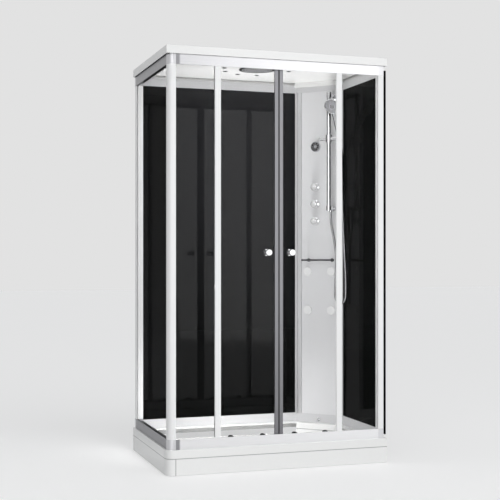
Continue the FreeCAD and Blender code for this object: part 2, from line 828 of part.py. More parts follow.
def build_mullions():
    width = "mullion_width"
    slot_start = "pane_inset - 0.1"
    slot_end = "pane_inset + pane + 0.1"
    section = [
        ("0", "1"),
        (width, "1"),
        (width, "web_back"),
        ("0", "web_back"),
        ("0", slot_end),
        ("slot_depth", slot_end),
        ("slot_depth", slot_start),
        ("0", slot_start),
    ]
    chamber = rectangle("slot_depth + 2", "3", f"{width} - slot_depth - 4", "web_back - 5")
    left_mullion = extrusion(
        "mullion_left",
        [section, chamber],
        "upper_rail - rail_top",
        (f"-mullion_place - {width} / 2", "rail_front", "rail_top"),
    )
    publish("mullions", group("mullions", left_mullion, mirrored("mullion_right", left_mullion)))


# ------------------------------------------------------------------ black walls


def wall_profile(name, band, base, drop, length, place, turn):
    """Channel that the black glass stands in: X is the depth, Y the height."""
    front_wall = "profile_wall - 0.2"
    glass_back = "wall_recess + wall_glass + 0.2"
    rear = f"{glass_back} + profile_wall"
    depth = "wall_depth - rear_gap"
    section = [
        ("0", f"-({drop})"),
        ("0", band),
        (front_wall, band),
        (front_wall, base),
        (glass_back, base),
        (glass_back, band),
        (rear, band),
        (rear, "3"),
        (depth, "3"),
        (depth, "0"),
    ]
    if drop != "0":
        section += [(front_wall, "0"), (front_wall, f"-({drop})")]
    chamber = rectangle(front_wall, "3", "wall_glass", f"{base} - 6")
    return extrusion(name, [section, chamber], length, place, turn)


def build_wall_profiles():
    start = "rail_left + rail_depth + fit_gap"
    corner_y = "back_face - column_leg"
    end_y = "rail_front + rail_depth + fit_gap"
    drop = "lip_drop - fit_gap"
    lower = ("lower_band", "glass_foot", drop)
    upper = ("upper_band", "glass_head", "0")
    back_length = f"column_x - ({start})"
    side_length = f"{corner_y} - ({end_y})"
    back_low = wall_profile(
        "back_low_profile", *lower, back_length, (start, "back_face", "tray_height"), TURNS["along front"]
    )
    right_low = wall_profile(
        "right_low_profile", *lower, side_length, ("right_face", corner_y, "tray_height"), TURNS["along side"]
    )
    back_top = wall_profile(
        "back_top_profile",
        *upper,
        back_length,
        ("column_x", "back_face", "roof_base"),
        TURNS["along front, hung"],
    )
    right_top = wall_profile(
        "right_top_profile",
        *upper,
        side_length,
        ("right_face", end_y, "roof_base"),
        TURNS["along side, hung"],
    )
    column_low = wall_profile(
        "column_low_profile", *lower, "column_length", ("0", "0", "tray_height"), TURNS["along front"]
    )
    column_top = wall_profile(
        "column_top_profile",
        *upper,
        "column_length",
        ("column_length", "0", "roof_base"),
        TURNS["along front, hung"],
    )
    steam_hole = rod(
        "steam_hole", ("column_length / 2", "-1", "steam_height"), "steam_diameter", "wall_depth", "back"
    )
    turned = [cut("column_low_cut", column_low, steam_hole), column_top]
    for item, name in zip(turned, ("column_low", "column_top")):
        turned[turned.index(item)] = put(
            group(name, item), ("column_x", "back_face", "0"), Rotation(Vector(0, 0, 1), -45)
        )
    publish("wall_bottom_profiles", group("wall_bottom_profiles", back_low, right_low, turned[0]))
    publish("wall_top_profiles", group("wall_top_profiles", back_top, right_top, turned[1]))


def build_black_glass():
    start = "rail_left + rail_depth + fit_gap"
    publish(
        "back_glass_panel",
        box(
            "back_glass_panel",
            (start, "black_back", "wall_glass_base"),
            f"column_x - 0.5 - ({start})",
            "wall_glass",
            "wall_glass_height",
        ),
    )
    start = "rail_front + 1"
    pane = box(
        "right_pane",
        ("black_right", start, "wall_glass_base"),
        "wall_glass",
        f"back_face - column_leg - 0.5 - ({start})",
        "wall_glass_height",
    )
    edging = box(
        "right_edging",
        ("black_right + wall_glass", start, "wall_glass_base"),
        "wall_depth - rear_gap - wall_recess - wall_glass",
        "8",
        "wall_glass_height",
    )
    publish("right_glass_panel", group("right_glass_panel", pane, edging))


# ------------------------------------------------------------------ column and its fittings


def build_column():
    rear = "wall_recess"
    width = "column_length - 2"
    sheet_part = box(
        "column_sheet", ("1", rear, "wall_glass_base"), width, "column_skin", "wall_glass_height"
    )
    fold_base = "lower_face + 8"
    fold_height = "upper_face - lower_face - 16"
    back_of_sheet = f"{rear} + column_skin"
    folds = [
        box(f"column_fold_{side}", (x, back_of_sheet, fold_base), "column_skin", "20", fold_height)
        for side, x in (("left", "24"), ("right", "column_length - 24 - column_skin"))
    ]
    holes = [
        rod(f"knob_hole_{step}", ("centre_line", "0", f"knob_height + {step} * knob_pitch"),
            "spindle_diameter + 4", "20", "back")
        for step in (-1, 0, 1)
    ]
    holes.append(rod("panel_hole", ("centre_line", "0", "panel_height"), "display_diameter", "20", "back"))
    for x, z, name in jet_places():
        holes.append(rod(f"{name}_hole", (x, "0", z), "jet_cup + 2 * fit_gap", "20", "back"))
    outlet = "bar_bottom + bracket_inset"
    holes.append(rod("outlet_hole", ("bar_line", "0", outlet), "pipe_diameter + 1", "20", "back"))
    column = cut("column_body", join("column_solid", sheet_part, *folds), *holes)
    on_column("column_panel", column)

    section = [
        ("1", rear),
        ("1", "0"),
        ("2", "-trim_rib"),
        ("trim_width / 3", "-trim_rib"),
        ("trim_width / 3 + 2", "-trim_rib / 4"),
        ("trim_width * 0.6", "-trim_rib / 4"),
        ("trim_width * 0.6 + 1", "-trim_rib / 2"),
        ("trim_width - 2", "-trim_rib / 2"),
        ("trim_width", "0"),
        ("trim_width", rear),
    ]
    length = "upper_face - lower_face"
    left_trim = extrusion("left_trim", [section], length, ("0", "0", "lower_face"))
    section = [(f"column_length - ({x})", y) for x, y in reversed(section)]
    right_trim = extrusion("right_trim", [section], length, ("0", "0", "lower_face"))
    on_column("column_trims", left_trim, right_trim)


def jet_places():
    """Along the column, height and name of the four jets."""
    return [
        (f"jet_line + {side} * jet_offset", height, f"jet_{level}_{word}")
        for height, level in (("jet_upper", "upper"), ("jet_lower", "lower"))
        for side, word in ((-1, "left"), (1, "right"))
    ]


def build_control_panel():
    spot = ("centre_line", "wall_recess", "panel_height")
    rim = cone("panel_rim", spot, "panel_diameter", "panel_diameter - 4", "panel_rim", "front")
    front_plane = "wall_recess - panel_rim"
    pocket = rod(
        "panel_pocket", ("centre_line", front_plane, "panel_height"), "display_diameter", "3", "back"
    )
    well = rod(
        "panel_well",
        ("centre_line", front_plane, "panel_height"),
        "button_diameter + 2 * fit_gap",
        "7",
        "back",
    )
    housing = rod("panel_housing", spot, "display_diameter - 1", "18", "back")
    on_column("control_panel", cut("panel_cut", join("panel_solid", rim, housing), pocket, well))
    button = rod(
        "button_cap",
        ("centre_line", f"{front_plane} + 1.6", "panel_height"),
        "button_diameter",
        "5.4 - button_travel - fit_gap",
        "back",
    )
    on_column("control_button", button)


def build_knobs():
    plates = []
    manifold = box(
        "manifold_block",
        ("centre_line - manifold_width / 2", "manifold_front", "knob_height - manifold_length / 2"),
        "manifold_width",
        "manifold_width",
        "manifold_length",
    )
    bores = []
    for step, name in ((1, "temperature_knob"), (0, "flow_knob"), (-1, "diverter_knob")):
        z = f"knob_height + {step} * knob_pitch"
        bore = "spindle_diameter + 2 * bearing_gap"
        front_plane = "wall_recess - escutcheon_depth"
        plate = cone(
            f"{name}_plate",
            ("centre_line", "wall_recess", z),
            "escutcheon_diameter",
            "escutcheon_diameter - 6",
            "escutcheon_depth",
            "front",
        )
        hole = rod(
            f"{name}_plate_hole", ("centre_line", "wall_recess + 1", z), bore, "escutcheon_depth + 2", "front"
        )
        plates.append(cut(f"{name}_escutcheon", plate, hole))
        bores.append(rod(f"{name}_bore", ("centre_line", "manifold_front - 1", z), bore, "20", "back"))
        grip = rod(
            f"{name}_grip",
            ("centre_line", f"{front_plane} - fit_gap", z),
            "knob_diameter",
            "knob_depth",
            "front",
        )
        soft = rounded(f"{name}_soft", grip, "6", around_front("knob_depth"))
        nose = box(
            f"{name}_nose",
            ("centre_line - 4", f"{front_plane} - fit_gap - knob_depth - 3", z),
            "8",
            "knob_depth",
            "knob_diameter / 2 + 4",
        )
        shaft = rod(
            f"{name}_shaft",
            ("centre_line", f"{front_plane} - 5", z),
            "spindle_diameter",
            "manifold_front + 14 - wall_recess + escutcheon_depth + 5",
            "back",
        )
        on_column(name, join(f"{name}_solid", soft, nose, shaft))
    on_column("knob_escutcheons", *plates)
    tails = [
        rod(
            f"{name}_tail",
            ("centre_line", "manifold_front + manifold_width", f"knob_height + {step} * knob_pitch / 2"),
            "inlet_diameter",
            "inlet_length",
            "back",
        )
        for step, name in ((1, "hot"), (-1, "cold"))
    ]
    on_column("valve_manifold", cut("manifold_cut", join("manifold_solid", manifold, *tails), *bores))


def around_front(depth):
    """Chooses the circle at the outer end of a knob that stands out of the column."""
    level = value(f"wall_recess - escutcheon_depth - fit_gap - {depth}")
    return lambda edge: isinstance(edge.Curve, Part.Circle) and abs(edge.CenterOfMass.y - level) < 0.01


def build_pipes():
    """Riser to the overhead shower, branches to the jets and to the slide bar's hose outlet."""
    axis = "manifold_front + manifold_width / 2"
    low = "knob_height - manifold_length / 2"
    elbow = "pipe_diameter + 2"
    branch = "pipe_diameter - 2"
    cross_height = f"{low} - 60"
    riser_length = f"overhead_axis - ({low}) - manifold_length"
    runs = [
        rod("riser", ("centre_line", axis, f"{low} + manifold_length"), "pipe_diameter", riser_length),
        ball("riser_elbow", ("centre_line", axis, "overhead_axis"), elbow),
        rod("drop_pipe", ("centre_line", axis, cross_height), "pipe_diameter", "60"),
        rod(
            "cross_pipe",
            ("jet_line - jet_offset", axis, cross_height),
            "pipe_diameter",
            "2 * jet_offset",
            "right",
        ),
    ]
    foot = f"jet_lower - {branch}"
    for side, word in ((-1, "left"), (1, "right")):
        x = f"jet_line + {side} * jet_offset"
        runs.append(rod(f"{word}_jet_pipe", (x, axis, foot), "pipe_diameter", f"{cross_height} - ({foot})"))
        runs.append(ball(f"{word}_jet_elbow", (x, axis, cross_height), elbow))
    for x, z, name in jet_places():
        runs.append(rod(f"{name}_branch", (x, "jet_rear", z), branch, f"{axis} - jet_rear", "back"))
    outlet = "bar_bottom + bracket_inset"
    start = "centre_line + manifold_width / 2"
    runs.append(rod("hand_pipe", (start, axis, outlet), "pipe_diameter", f"bar_line - ({start})", "right"))
    runs.append(ball("hand_elbow", ("bar_line", axis, outlet), elbow))
    runs.append(
        rod("hand_branch", ("bar_line", "wall_recess", outlet), branch, f"{axis} - wall_recess", "back")
    )
    along_x = "(shower_right - column_x)"
    along_y = "(shower_back - back_face)"
    local_x = f"({along_x} - {along_y}) / sqrt(2)"
    local_y = f"({along_x} + {along_y}) / sqrt(2)"
    reach_x = f"{local_x} - centre_line"
    reach_y = f"{local_y} - ({axis})"
    overhead = document.addObject("Part::Cylinder", "overhead_pipe")
    overhead.setExpression("Radius", cells("pipe_diameter / 2"))
    overhead.setExpression("Height", cells(f"sqrt(({reach_x}) ^ 2 + ({reach_y}) ^ 2)"))
    turn = Rotation(Vector(0, 0, 1), Vector(value(reach_x), value(reach_y), 0))
    runs.append(put(overhead, ("centre_line", axis, "overhead_axis"), turn))
    runs.append(ball("overhead_elbow", (local_x, local_y, "overhead_axis"), elbow))
    runs.append(rod("overhead_drop", (local_x, local_y, "overhead_axis"), branch, f"({elbow}) / 2", "down"))
    on_column("water_pipes", join("water_pipes_solid", *runs))


def build_jets():
    housings = []
    for x, z, name in jet_places():
        centre = "wall_recess + 4"
        ring = cone(
            f"{name}_ring", (x, "wall_recess", z), "jet_diameter", "jet_diameter - 4", "jet_depth", "front"
        )
        cup = rod(f"{name}_cup", (x, "wall_recess", z), "jet_cup", "jet_rear - wall_recess", "back")
        socket = ball(f"{name}_socket", (x, centre, z), "nozzle_ball + 2 * fit_gap")
        inlet = rod(f"{name}_inlet", (x, centre, z), "pipe_diameter - 5", "jet_rear", "back")
        housings.append(cut(f"{name}_housing", join(f"{name}_shell", ring, cup), socket, inlet))
        sphere = ball(f"{name}_ball", (x, centre, z), "nozzle_ball")
        slab = box(
            f"{name}_slab",
            (f"{x} - nozzle_ball / 2", f"{centre} - nozzle_face", f"{z} - nozzle_ball / 2"),
            "nozzle_ball",
            "nozzle_face + nozzle_ball * 0.36",
            "nozzle_ball",
        )
        waterway = rod(f"{name}_way", (x, f"{centre} - 4", z), "8", "nozzle_ball", "back")
        nozzle = cut(f"{name}_nozzle_cut", common(f"{name}_cap", sphere, slab), waterway)
        on_column(name.replace("jet_", "jet_nozzle_"), nozzle)
    on_column("jet_housings", *housings)


def build_towel_bar():
    y = "wall_recess - towel_standoff"
    start = "centre_line + towel_shift - towel_bar_length / 2"
    bar = rod("towel_rod", (start, y, "towel_height"), "towel_bar_diameter", "towel_bar_length", "right")
    solids = [bar]
    for side, word in ((-1, "left"), (1, "right")):
        x = f"centre_line + towel_shift + {side} * towel_post_pitch / 2"
        solids.append(rod(f"towel_post_{word}", (x, "wall_recess", "towel_height"), "towel_bar_diameter",
                          "towel_standoff", "front"))
        foot_place = (x, "wall_recess", "towel_height")
        solids.append(cone(f"towel_foot_{word}", foot_place, "22", "16", "5", "front"))
        end = f"centre_line + towel_shift + {side} * towel_bar_length / 2"
        solids.append(ball(f"towel_end_{word}", (end, y, "towel_height"), "towel_bar_diameter + 2"))
    on_column("towel_bar", join("towel_bar_solid", *solids))


# ------------------------------------------------------------------ slide bar, slider and handset


def build_slide_bar():
    y = "wall_recess - bar_standoff"
    tube = rod("bar_tube", ("bar_line", y, "bar_bottom"), "bar_diameter", "bar_length")
    tube_bore = rod("bar_bore", ("bar_line", y, "bar_bottom + 4"), "bar_diameter - 4", "bar_length - 8")
    solids = [cut("bar_cut", tube, tube_bore)]
    places = (
        ("bar_bottom + bracket_inset", "lower"),
        ("bar_bottom + bar_length - bracket_inset", "upper"),
    )
    for place, word in places:
        foot = cone(f"{word}_foot", ("bar_line", "wall_recess", place), "36", "28", "8", "front")
        arm_start = ("bar_line", "wall_recess", place)
        arm = rod(f"{word}_arm", arm_start, "bracket_diameter", "bar_standoff", "front")
        collar = rod(
            f"{word}_collar", ("bar_line", y, f"{place} - bracket_inset"), "bar_diameter + 6",
            "2 * bracket_inset",
        )
        seat = rod(
            f"{word}_seat", ("bar_line", y, f"{place} - 40"), "bar_diameter + 2 * bearing_gap", "80"
        )
        if word == "lower":
            union_y = "wall_recess - outlet_standoff"
            union = rod("outlet_union", ("bar_line", union_y, "hose_outlet"), "hose_diameter + 4",
                        f"{place} - hose_outlet")
            way = rod("outlet_way", ("bar_line", "wall_recess + 1", place), "pipe_diameter",
                      "outlet_standoff", "front")
            fall = rod("outlet_fall", ("bar_line", union_y, "hose_outlet"), "hose_diameter - 4",
                       f"{place} - hose_outlet")
            arm = join("lower_arm_union", arm, union)
            solids.append(cut(f"{word}_bracket", join(f"{word}_solid", foot, arm, collar), seat, way, fall))
        else:
            solids.append(cut(f"{word}_bracket", join(f"{word}_solid", foot, arm, collar), seat))
    on_column("slide_bar", *solids)


def build_slider():
    y = "wall_recess - bar_standoff"
    collar = rod(
        "slider_collar", ("bar_line", y, "slider_height - slider_length / 2"), "bar_diameter + 12",
        "slider_length",
    )
    lock = rod("slider_lock", ("bar_line - slider_reach", y, "slider_height"), "arm_diameter",
               "slider_reach", "right")
    arm_length = "holder_reach - holder_width / 2 - fit_gap"
    arm = rod("slider_arm", ("bar_line", y, "slider_height"), "arm_diameter", arm_length, "right")
    pin = rod("slider_pin", ("bar_line", y, "slider_height"), "holder_pin", f"{arm_length} + 8", "right")
    bore = rod(
        "slider_bore", ("bar_line", y, "slider_height - slider_length"), "bar_diameter + 2 * fit_gap",
        "2 * slider_length",
    )
    groove = rod("slider_groove", ("bar_line - slider_reach + 16", y, "slider_height"),
                 "arm_diameter + 2", "1.5", "right")
    core = rod("slider_core", ("bar_line - slider_reach + 15", y, "slider_height"),
               "arm_diameter - 3", "3.5", "right")
    ring = cut("slider_ring", groove, core)
    on_column("slider", cut("slider_cut", join("slider_solid", collar, lock, arm, pin), bore, ring))


def leaning(name, *items):
    """A piece drawn upright about the holder's axis, then leaned out from the column."""
    tilted = group(name + "_upright", *items)
    put(
        tilted,
        ("bar_line + holder_reach", "wall_recess - bar_standoff", "slider_height"),
        Rotation(Vector(1, 0, 0), value("holder_lean")),
    )
    return on_column(name, tilted)


def build_handset():
    half = "holder_length / 2"
    shell = cone("holder_shell", ("0", "0", f"-({half})"), "handle_diameter + 7", "handle_diameter + 13",
                 "holder_length")
    side = ("-holder_width / 2", "0", "0")
    barrel = rod("holder_barrel", side, "arm_diameter", "holder_width / 2", "right")
    seat = cone(
        "holder_seat", ("0", "0", f"-({half}) - 0.5"), "handle_diameter - 3 + 2 * fit_gap",
        "handle_diameter + 2 * fit_gap + 0.2", "holder_length + 1",
    )
    pin_hole = rod(
        "holder_pin_hole", ("-holder_width / 2 - 1", "0", "0"), "holder_pin + 2 * bearing_gap", "10", "right"
    )
    leaning("handset_holder", cut("holder_cut", join("holder_solid", shell, barrel), seat, pin_hole))

    handle = document.addObject("Part::Feature", "handset_handle")
    handle.Shape = handset_shape()
    leaning("handset", handle)


def spun(profile, axis):
    """Solid of revolution of a profile given as (radius, distance along the axis) pairs."""
    points = [Vector(radius, 0, 0) + axis * along for radius, along in profile]
    return Part.Face(Part.makePolygon(points + points[:1])).revolve(Vector(), axis, 360)


def handset_shape():
    """Flattened handle that widens into a shallow dome with a flat spray face, and a hose nut below."""
    radius = value("handle_diameter / 2")
    half = value("holder_length / 2")
    reach = value("head_reach")
    head = value("head_diameter / 2")
    depth = value("head_depth")
    nut = value("hose_diameter / 2 + 3")
    edge = depth / 16
    low = -half - value("nut_length")
    shoulder = -half - edge * 4 / 3
    front = -depth * 2 / 3
    back = front + depth
    neck = radius * 1.6
    stem = radius * 1.09
    stick = spun(
        [
            (0, low),
            (nut - edge, low),
            (nut, low + edge),
            (nut, shoulder - edge),
            (radius * 0.83, shoulder),
            (radius * 0.87, -half),
            (radius, half),
            (stem, half * 3.25),
            (neck, reach - head * 0.65),
            (radius * 0.65, reach - head * 0.1),
            (0, reach - head * 0.1),
        ],
        Vector(0, 0, 1),
    )
    face = front + depth / 8
    slab = Part.makeBox(
        2 * neck, stem * 1.016 - face, reach - low + edge, Vector(-neck, face, low - edge)
    )
    disc = spun(
        [
            (0, front),
            (head - edge, front),
            (head, front + edge),
            (head, back - depth * 0.67),
            (head * 0.91, back - depth * 0.54),
            (head * 0.65, back - depth * 0.21),
            (head * 0.35, back - depth * 0.04),
            (0, back),
        ],
        Vector(0, 1, 0),
    )
    disc.translate(Vector(0, 0, reach))
    recess = Part.makeCylinder(head * 0.89, edge, Vector(0, front, reach), Vector(0, 1, 0))
    return stick.common(slab).fuse(disc).removeSplitter().cut(recess)


HOSE_STEPS = (  # along the column, out of the panel and below the slider, of the hose's free run
    (241, 36, 461),
    (246, 37.5, 500),
    (255, 37, 544),
    (264, 34, 596),
    (270, 31, 648),
    (272, 29, 708),
    (270, 27.3, 768),
    (266.5, 26.2, 824),
    (265.2, 25.8, 876),
    (265.5, 26, 920),
    (280.5, 32.5, 943),
    (305, 43, 951.5),
    (329.8, 53.5, 942.5),
    (345, 60, 919),
    (345.8, 60.4, 875),
    (345, 60.2, 826),
    (342.8, 59.4, 771),
    (339.2, 57.6, 713),
    (334.8, 54.8, 654),
    (330, 51.3, 594),
    (325.2, 47.2, 535),
    (320.8, 42.8, 476),
    (316.8, 38.2, 416),
    (313.4, 33.6, 356),
    (310.6, 29.2, 296),
    (308.4, 25.4, 237),
    (306.8, 22.8, 180),
    (305.8, 21.8, 131),
    (305.3, 23.6, 91),
)


def hose_route():
    """The hose's points against the column, from its outlet to the handset's nut."""
    lean = math.radians(value("holder_lean"))
    low = value("holder_length / 2 + nut_length")
    recess = value("wall_recess")
    pivot = Vector(value("bar_line + holder_reach"), recess - value("bar_standoff"), value("slider_height"))
    down = Vector(0, math.sin(lean), -math.cos(lean))
    start = Vector(value("bar_line"), recess - value("outlet_standoff"), value("hose_outlet"))
    end = pivot + down * low
    middle = [Vector(x, recess - out, pivot.z - below) for x, out, below in HOSE_STEPS]
    return [start] + middle + [end + down * value("nut_length"), end]


def cord(points, diameter):
    """A round tube along straight runs that tangent arcs join, with its length and radii."""
    edges = []
    radii = []
    length = 0.0
    here = points[0]
    for before, corner, after in zip(points, points[1:], points[2:]):
        arriving = (corner - before).normalize()
        leaving = (after - corner).normalize()
        turn = arriving.getAngle(leaving)
        shorter = min(before.distanceToPoint(corner), corner.distanceToPoint(after))
        setback = 0.45 * shorter
        radius = setback / math.tan(turn / 2)
        radii.append(radius)
        first = corner - arriving * setback
        last = corner + leaving * setback
        inward = (leaving - arriving).normalize()
        centre = corner + inward * math.hypot(setback, radius)
        middle = centre + (corner - centre).normalize() * radius
        edges.append(Part.LineSegment(here, first).toShape())
        edges.append(Part.Arc(first, middle, last).toShape())
        length += here.distanceToPoint(first) + radius * turn
        here = last
    edges.append(Part.LineSegment(here, points[-1]).toShape())
    length += here.distanceToPoint(points[-1])
    wire = Part.Wire(edges)
    heading = points[1] - points[0]
    ring = Part.Wire(Part.makeCircle(diameter / 2, points[0], heading))
    shape = wire.makePipeShell([ring], True, True)
    return shape, length, radii


def build_hose():
    points = hose_route()
    diameter = value("hose_diameter")
    shape, length, radii = cord(points, diameter)
    section = math.pi * diameter**2 / 4
    print(f"hose: {length:.0f} mm long, volume / section / length {shape.Volume / section / length:.4f}")
    print("hose radii:", " ".join(f"{radius:.0f}" for radius in radii))
    hose = document.addObject("Part::Feature", "hose_tube")
    hose.Shape = shape
    on_column("shower_hose", hose)


# ------------------------------------------------------------------ doors


def build_left_door():
    """The left leaf. The right one is its mirror image."""
    glass_front = "rail_front + door_inset"
    glass_back = "rail_front + door_inset + pane"
    meeting = "seal_width + 0.2"
    height = "door_top - door_base"
    inner_edge = f"-({meeting} + 3)"
    pane = box(
        "door_pane",
        ("-(door_width - 2)", glass_front, "door_base"),
        f"door_width - 2 - ({meeting}) - 3",
        "pane",
        height,
    )
    knob_spot = ("-door_knob_place", f"{glass_front} - 1", "door_knob_height")
    holes = [rod("knob_stud_hole", knob_spot, "12", "pane + 2", "back")]
    for hanger in ("inner_hanger", "outer_hanger"):
        spot = (f"-{hanger}", f"{glass_front} - 1", "roller_height")
        holes.append(rod(f"{hanger}_hole", spot, "axle_diameter + 4", "pane + 2", "back"))
    door_glass = cut("left_door_pane", pane, *holes)

    slot_front = "door_inset - 0.1"
    slot_back = "door_inset + pane + 0.1"
    stile_front = "door_inset + pane / 2 - stile_depth / 2"
    stile_back = "door_inset + pane / 2 + stile_depth / 2"
    outer = f"-({meeting} + stile_width)"
    section = [
        (outer, stile_front),
        (f"-({meeting})", stile_front),
        (f"-({meeting})", stile_back),
        (outer, stile_back),
        (outer, slot_back),
        (inner_edge, slot_back),
        (inner_edge, slot_front),
        (outer, slot_front),
    ]
    stile = extrusion("left_stile", [section], height, ("0", "rail_front", "door_base"))

    seal_place = ("-seal_width - 0.2", f"rail_front + {stile_front} + 1.5", "door_base")
    meeting_seal = box("meeting_seal", seal_place, "seal_width", "stile_depth - 3", height)
    rear_place = ("-door_width", "rail_front + web_back + 0.5", "rail_top + 1")
    rear_seal = box("rear_seal", rear_place, "2", "door_gap + pane + 1", "upper_rail - rail_top - 2")
    seals = group("left_seals", meeting_seal, rear_seal)

    spot = ("-door_knob_place", f"{glass_front}", "door_knob_height")
    neck = rod("knob_neck", spot, "14", "door_knob_neck + 1", "front")
    disc_place = ("-door_knob_place", f"{glass_front} - door_knob_neck", "door_knob_height")
    disc = rod("knob_disc", disc_place, "door_knob_diameter", "door_knob_depth", "front")
    disc = rounded("knob_soft", disc, "4", around("y", f"{glass_front} - door_knob_neck - door_knob_depth"))
    stud_start = ("-door_knob_place", f"{glass_front} - 2", "door_knob_height")
    neck_start = ("-door_knob_place", glass_back, "door_knob_height")
    stud = rod("knob_stud", stud_start, "8", "pane + 4", "back")
    inner_neck = rod("knob_inner_neck", neck_start, "14", "12", "back")
    inner_disc = rod(
        "knob_inner_disc",
        ("-door_knob_place", f"{glass_back} + 11", "door_knob_height"),
        "door_knob_diameter",
        "door_knob_depth",
        "back",
    )
    inner_end = around("y", f"{glass_back} + 11 + door_knob_depth")
    inner_disc = rounded("knob_inner_soft", inner_disc, "4", inner_end)
    knob = join("left_knob", neck, disc, stud, inner_neck, inner_disc)

    solids = []
    rollers = []
    for hanger in ("inner_hanger", "outer_hanger"):
        solids.append(carrier(hanger))
        solids.append(guide(hanger))
        rollers.append(roller(hanger))
    hangers = group("left_hangers", *solids)
    return {
        "door_glass": door_glass,
        "door_stile": stile,
        "door_seal": seals,
        "door_knob": knob,
        "door_hangers": hangers,
        "inner_roller": rollers[0],
        "outer_roller": rollers[1],
    }


def carrier(hanger):
    """Two plates that clamp the door glass, with the pin that the roller turns on."""
    low = "roller_height - carrier_width / 2"
    x = f"-{hanger} - carrier_width / 2"
    front_plate = box(f"{hanger}_front_plate", (x, "rail_front + web_back + 0.5", low), "carrier_width",
                      "door_gap - 0.5", "carrier_width")
    back_plate = box(f"{hanger}_back_plate", (x, "rail_front + door_inset + pane", low), "carrier_width",
                     "plate_depth", "carrier_width")
    front = "rail_front + web_back + 1"
    pin_length = "rail_depth - rail_wall - 1.4 - web_back"
    pin = rod(f"{hanger}_pin", (f"-{hanger}", front, "roller_height"), "axle_diameter", pin_length, "back")
    shoulder_place = (f"-{hanger}", "rail_front + door_inset + pane + plate_depth", "roller_height")
    shoulder = rod(f"{hanger}_shoulder", shoulder_place, "axle_diameter + 4", "roller_shoulder", "back")
    head_place = (
        f"-{hanger}",
        "rail_front + door_inset + pane + plate_depth + roller_shoulder + roller_width + 2 * bearing_gap",
        "roller_height",
    )
    head = rod(f"{hanger}_head", head_place, "axle_diameter + 4", "1.2", "back")
    return join(f"{hanger}_carrier", front_plate, back_plate, pin, shoulder, head)


def guide(hanger):
    """A block at the foot of the door that runs in the lower channel, under its lip."""
    low = "tray_height + rail_wall + fit_gap"
    x = f"-{hanger} - guide_width / 2"
    front = "rail_front + web_back + fit_gap"
    foot_depth = "channel_back - web_back - 2 * fit_gap"
    body_depth = "lip_edge - web_back - 2 * fit_gap"
    foot = box(f"{hanger}_foot", (x, front, low), "guide_width", foot_depth, "14")
    body = box(f"{hanger}_body", (x, front, low), "guide_width", body_depth, "guide_height")
    arch = rounded(
        f"{hanger}_arch",
        body,
        "guide_width * 0.4",
        lambda edge: edge.BoundBox.YLength > 10 and edge.CenterOfMass.z > value(f"{low} + guide_height - 1")
        and edge.BoundBox.XLength < 0.01,
    )
    slot = box(
        f"{hanger}_slot",
        (f"{x} - 1", "rail_front + door_inset - 0.1", "door_base"),
        "guide_width + 2",
        "pane + 0.2",
        "guide_height",
    )
    return cut(f"{hanger}_guide", join(f"{hanger}_block", foot, arch), slot)


def roller(hanger):
    """A grooved wheel on its pin."""
    y = "rail_front + door_inset + pane + plate_depth + roller_shoulder + bearing_gap"
    hub = (f"-{hanger}", y, "roller_height")
    wheel = rod(f"{hanger}_wheel", hub, "roller_diameter", "roller_width", "back")
    bore = rod(
        f"{hanger}_bore",
        (f"-{hanger}", f"{y} - 1", "roller_height"),
        "axle_diameter + 2 * bearing_gap",
        "roller_width + 2",
        "back",
    )
    return cut(f"{hanger}_roller", wheel, bore)


def build_doors():
    for word, item in build_left_door().items():
        publish(f"left_{word}", item)
        publish(f"right_{word}", mirrored(f"right_{word}", item))


# ------------------------------------------------------------------ roof and ceiling


def build_roof():
    outside = box("roof_block", ("left", "front", "roof_base"), "cabin_width", "cabin_depth", "roof_height")
    soft = rounded("roof_soft", outside, "3", level_at("cabin_height"))
    hollow = box(
        "roof_hollow",
        ("left + roof_skin", "front + roof_skin", "roof_base - 1"),
        "cabin_width - 2 * roof_skin",
        "cabin_depth - 2 * roof_skin",
        "roof_height - roof_skin + 1",
    )
    publish("roof_shell", cut("roof_shell", soft, hollow))
    outer = clear_area("ceiling_outer", "fit_gap", "lip_base", "ceiling_lip + ceiling_skin")
    inner = clear_area("ceiling_inner", "fit_gap + ceiling_skin", "lip_base", "ceiling_lip")
    centre = ("shower_right", "shower_back", "lip_base")
    holes = [rod("shower_hole", centre, "shower_diameter - 12 + 2 * fit_gap", "ceiling_lip + 10")]
    holes += [rod(f"spot_hole_{n}", (x, y, "lip_base"), "spot_stem + 2 * fit_gap", "ceiling_lip + 10")
              for n, (x, y) in enumerate(spot_places())]
    publish("ceiling_panel", cut("ceiling_panel", outer, inner, *holes))
    flange = cone("shower_flange", ("shower_right", "shower_back", "ceiling - 3"), "shower_diameter - 4",
                  "shower_diameter", "3")
    drum = rod("shower_drum", ("shower_right", "shower_back", "ceiling - 3"), "shower_diameter - 12",
               "overhead_axis - pipe_diameter / 2 - 1 - (ceiling - 3)")
    face = rod("shower_face", ("shower_right", "shower_back", "ceiling - 4"), "shower_diameter - 24", "2")
    publish("overhead_shower", cut("overhead_shower", join("shower_solid", flange, drum), face))
    spots = []
    for number, (x, y) in enumerate(spot_places()):
        bezel = cone(f"spot_{number}_bezel", (x, y, "ceiling - 2"), "spot_diameter - 3", "spot_diameter", "2")
        stem = rod(f"spot_{number}_stem", (x, y, "ceiling - 1"), "spot_stem", "ceiling_skin + 3")
        well = cone(
            f"spot_{number}_well", (x, y, "ceiling - 3"), "spot_diameter - 8", "spot_diameter - 14", "4"
        )
        spots.append(cut(f"spot_{number}", join(f"spot_{number}_solid", bezel, stem), well))
    publish("ceiling_spots", group("ceiling_spots", *spots))


def spot_places():
    """Plan places of the round fittings, evenly on their circle."""
    count = round(value("spot_count"))
    return [
        (
            f"shower_right + spot_ring / 2 * cos(360deg * {number} / spot_count)",
            f"shower_back + spot_ring / 2 * sin(360deg * {number} / spot_count)",
        )
        for number in range(count)
    ]


# ------------------------------------------------------------------ steam


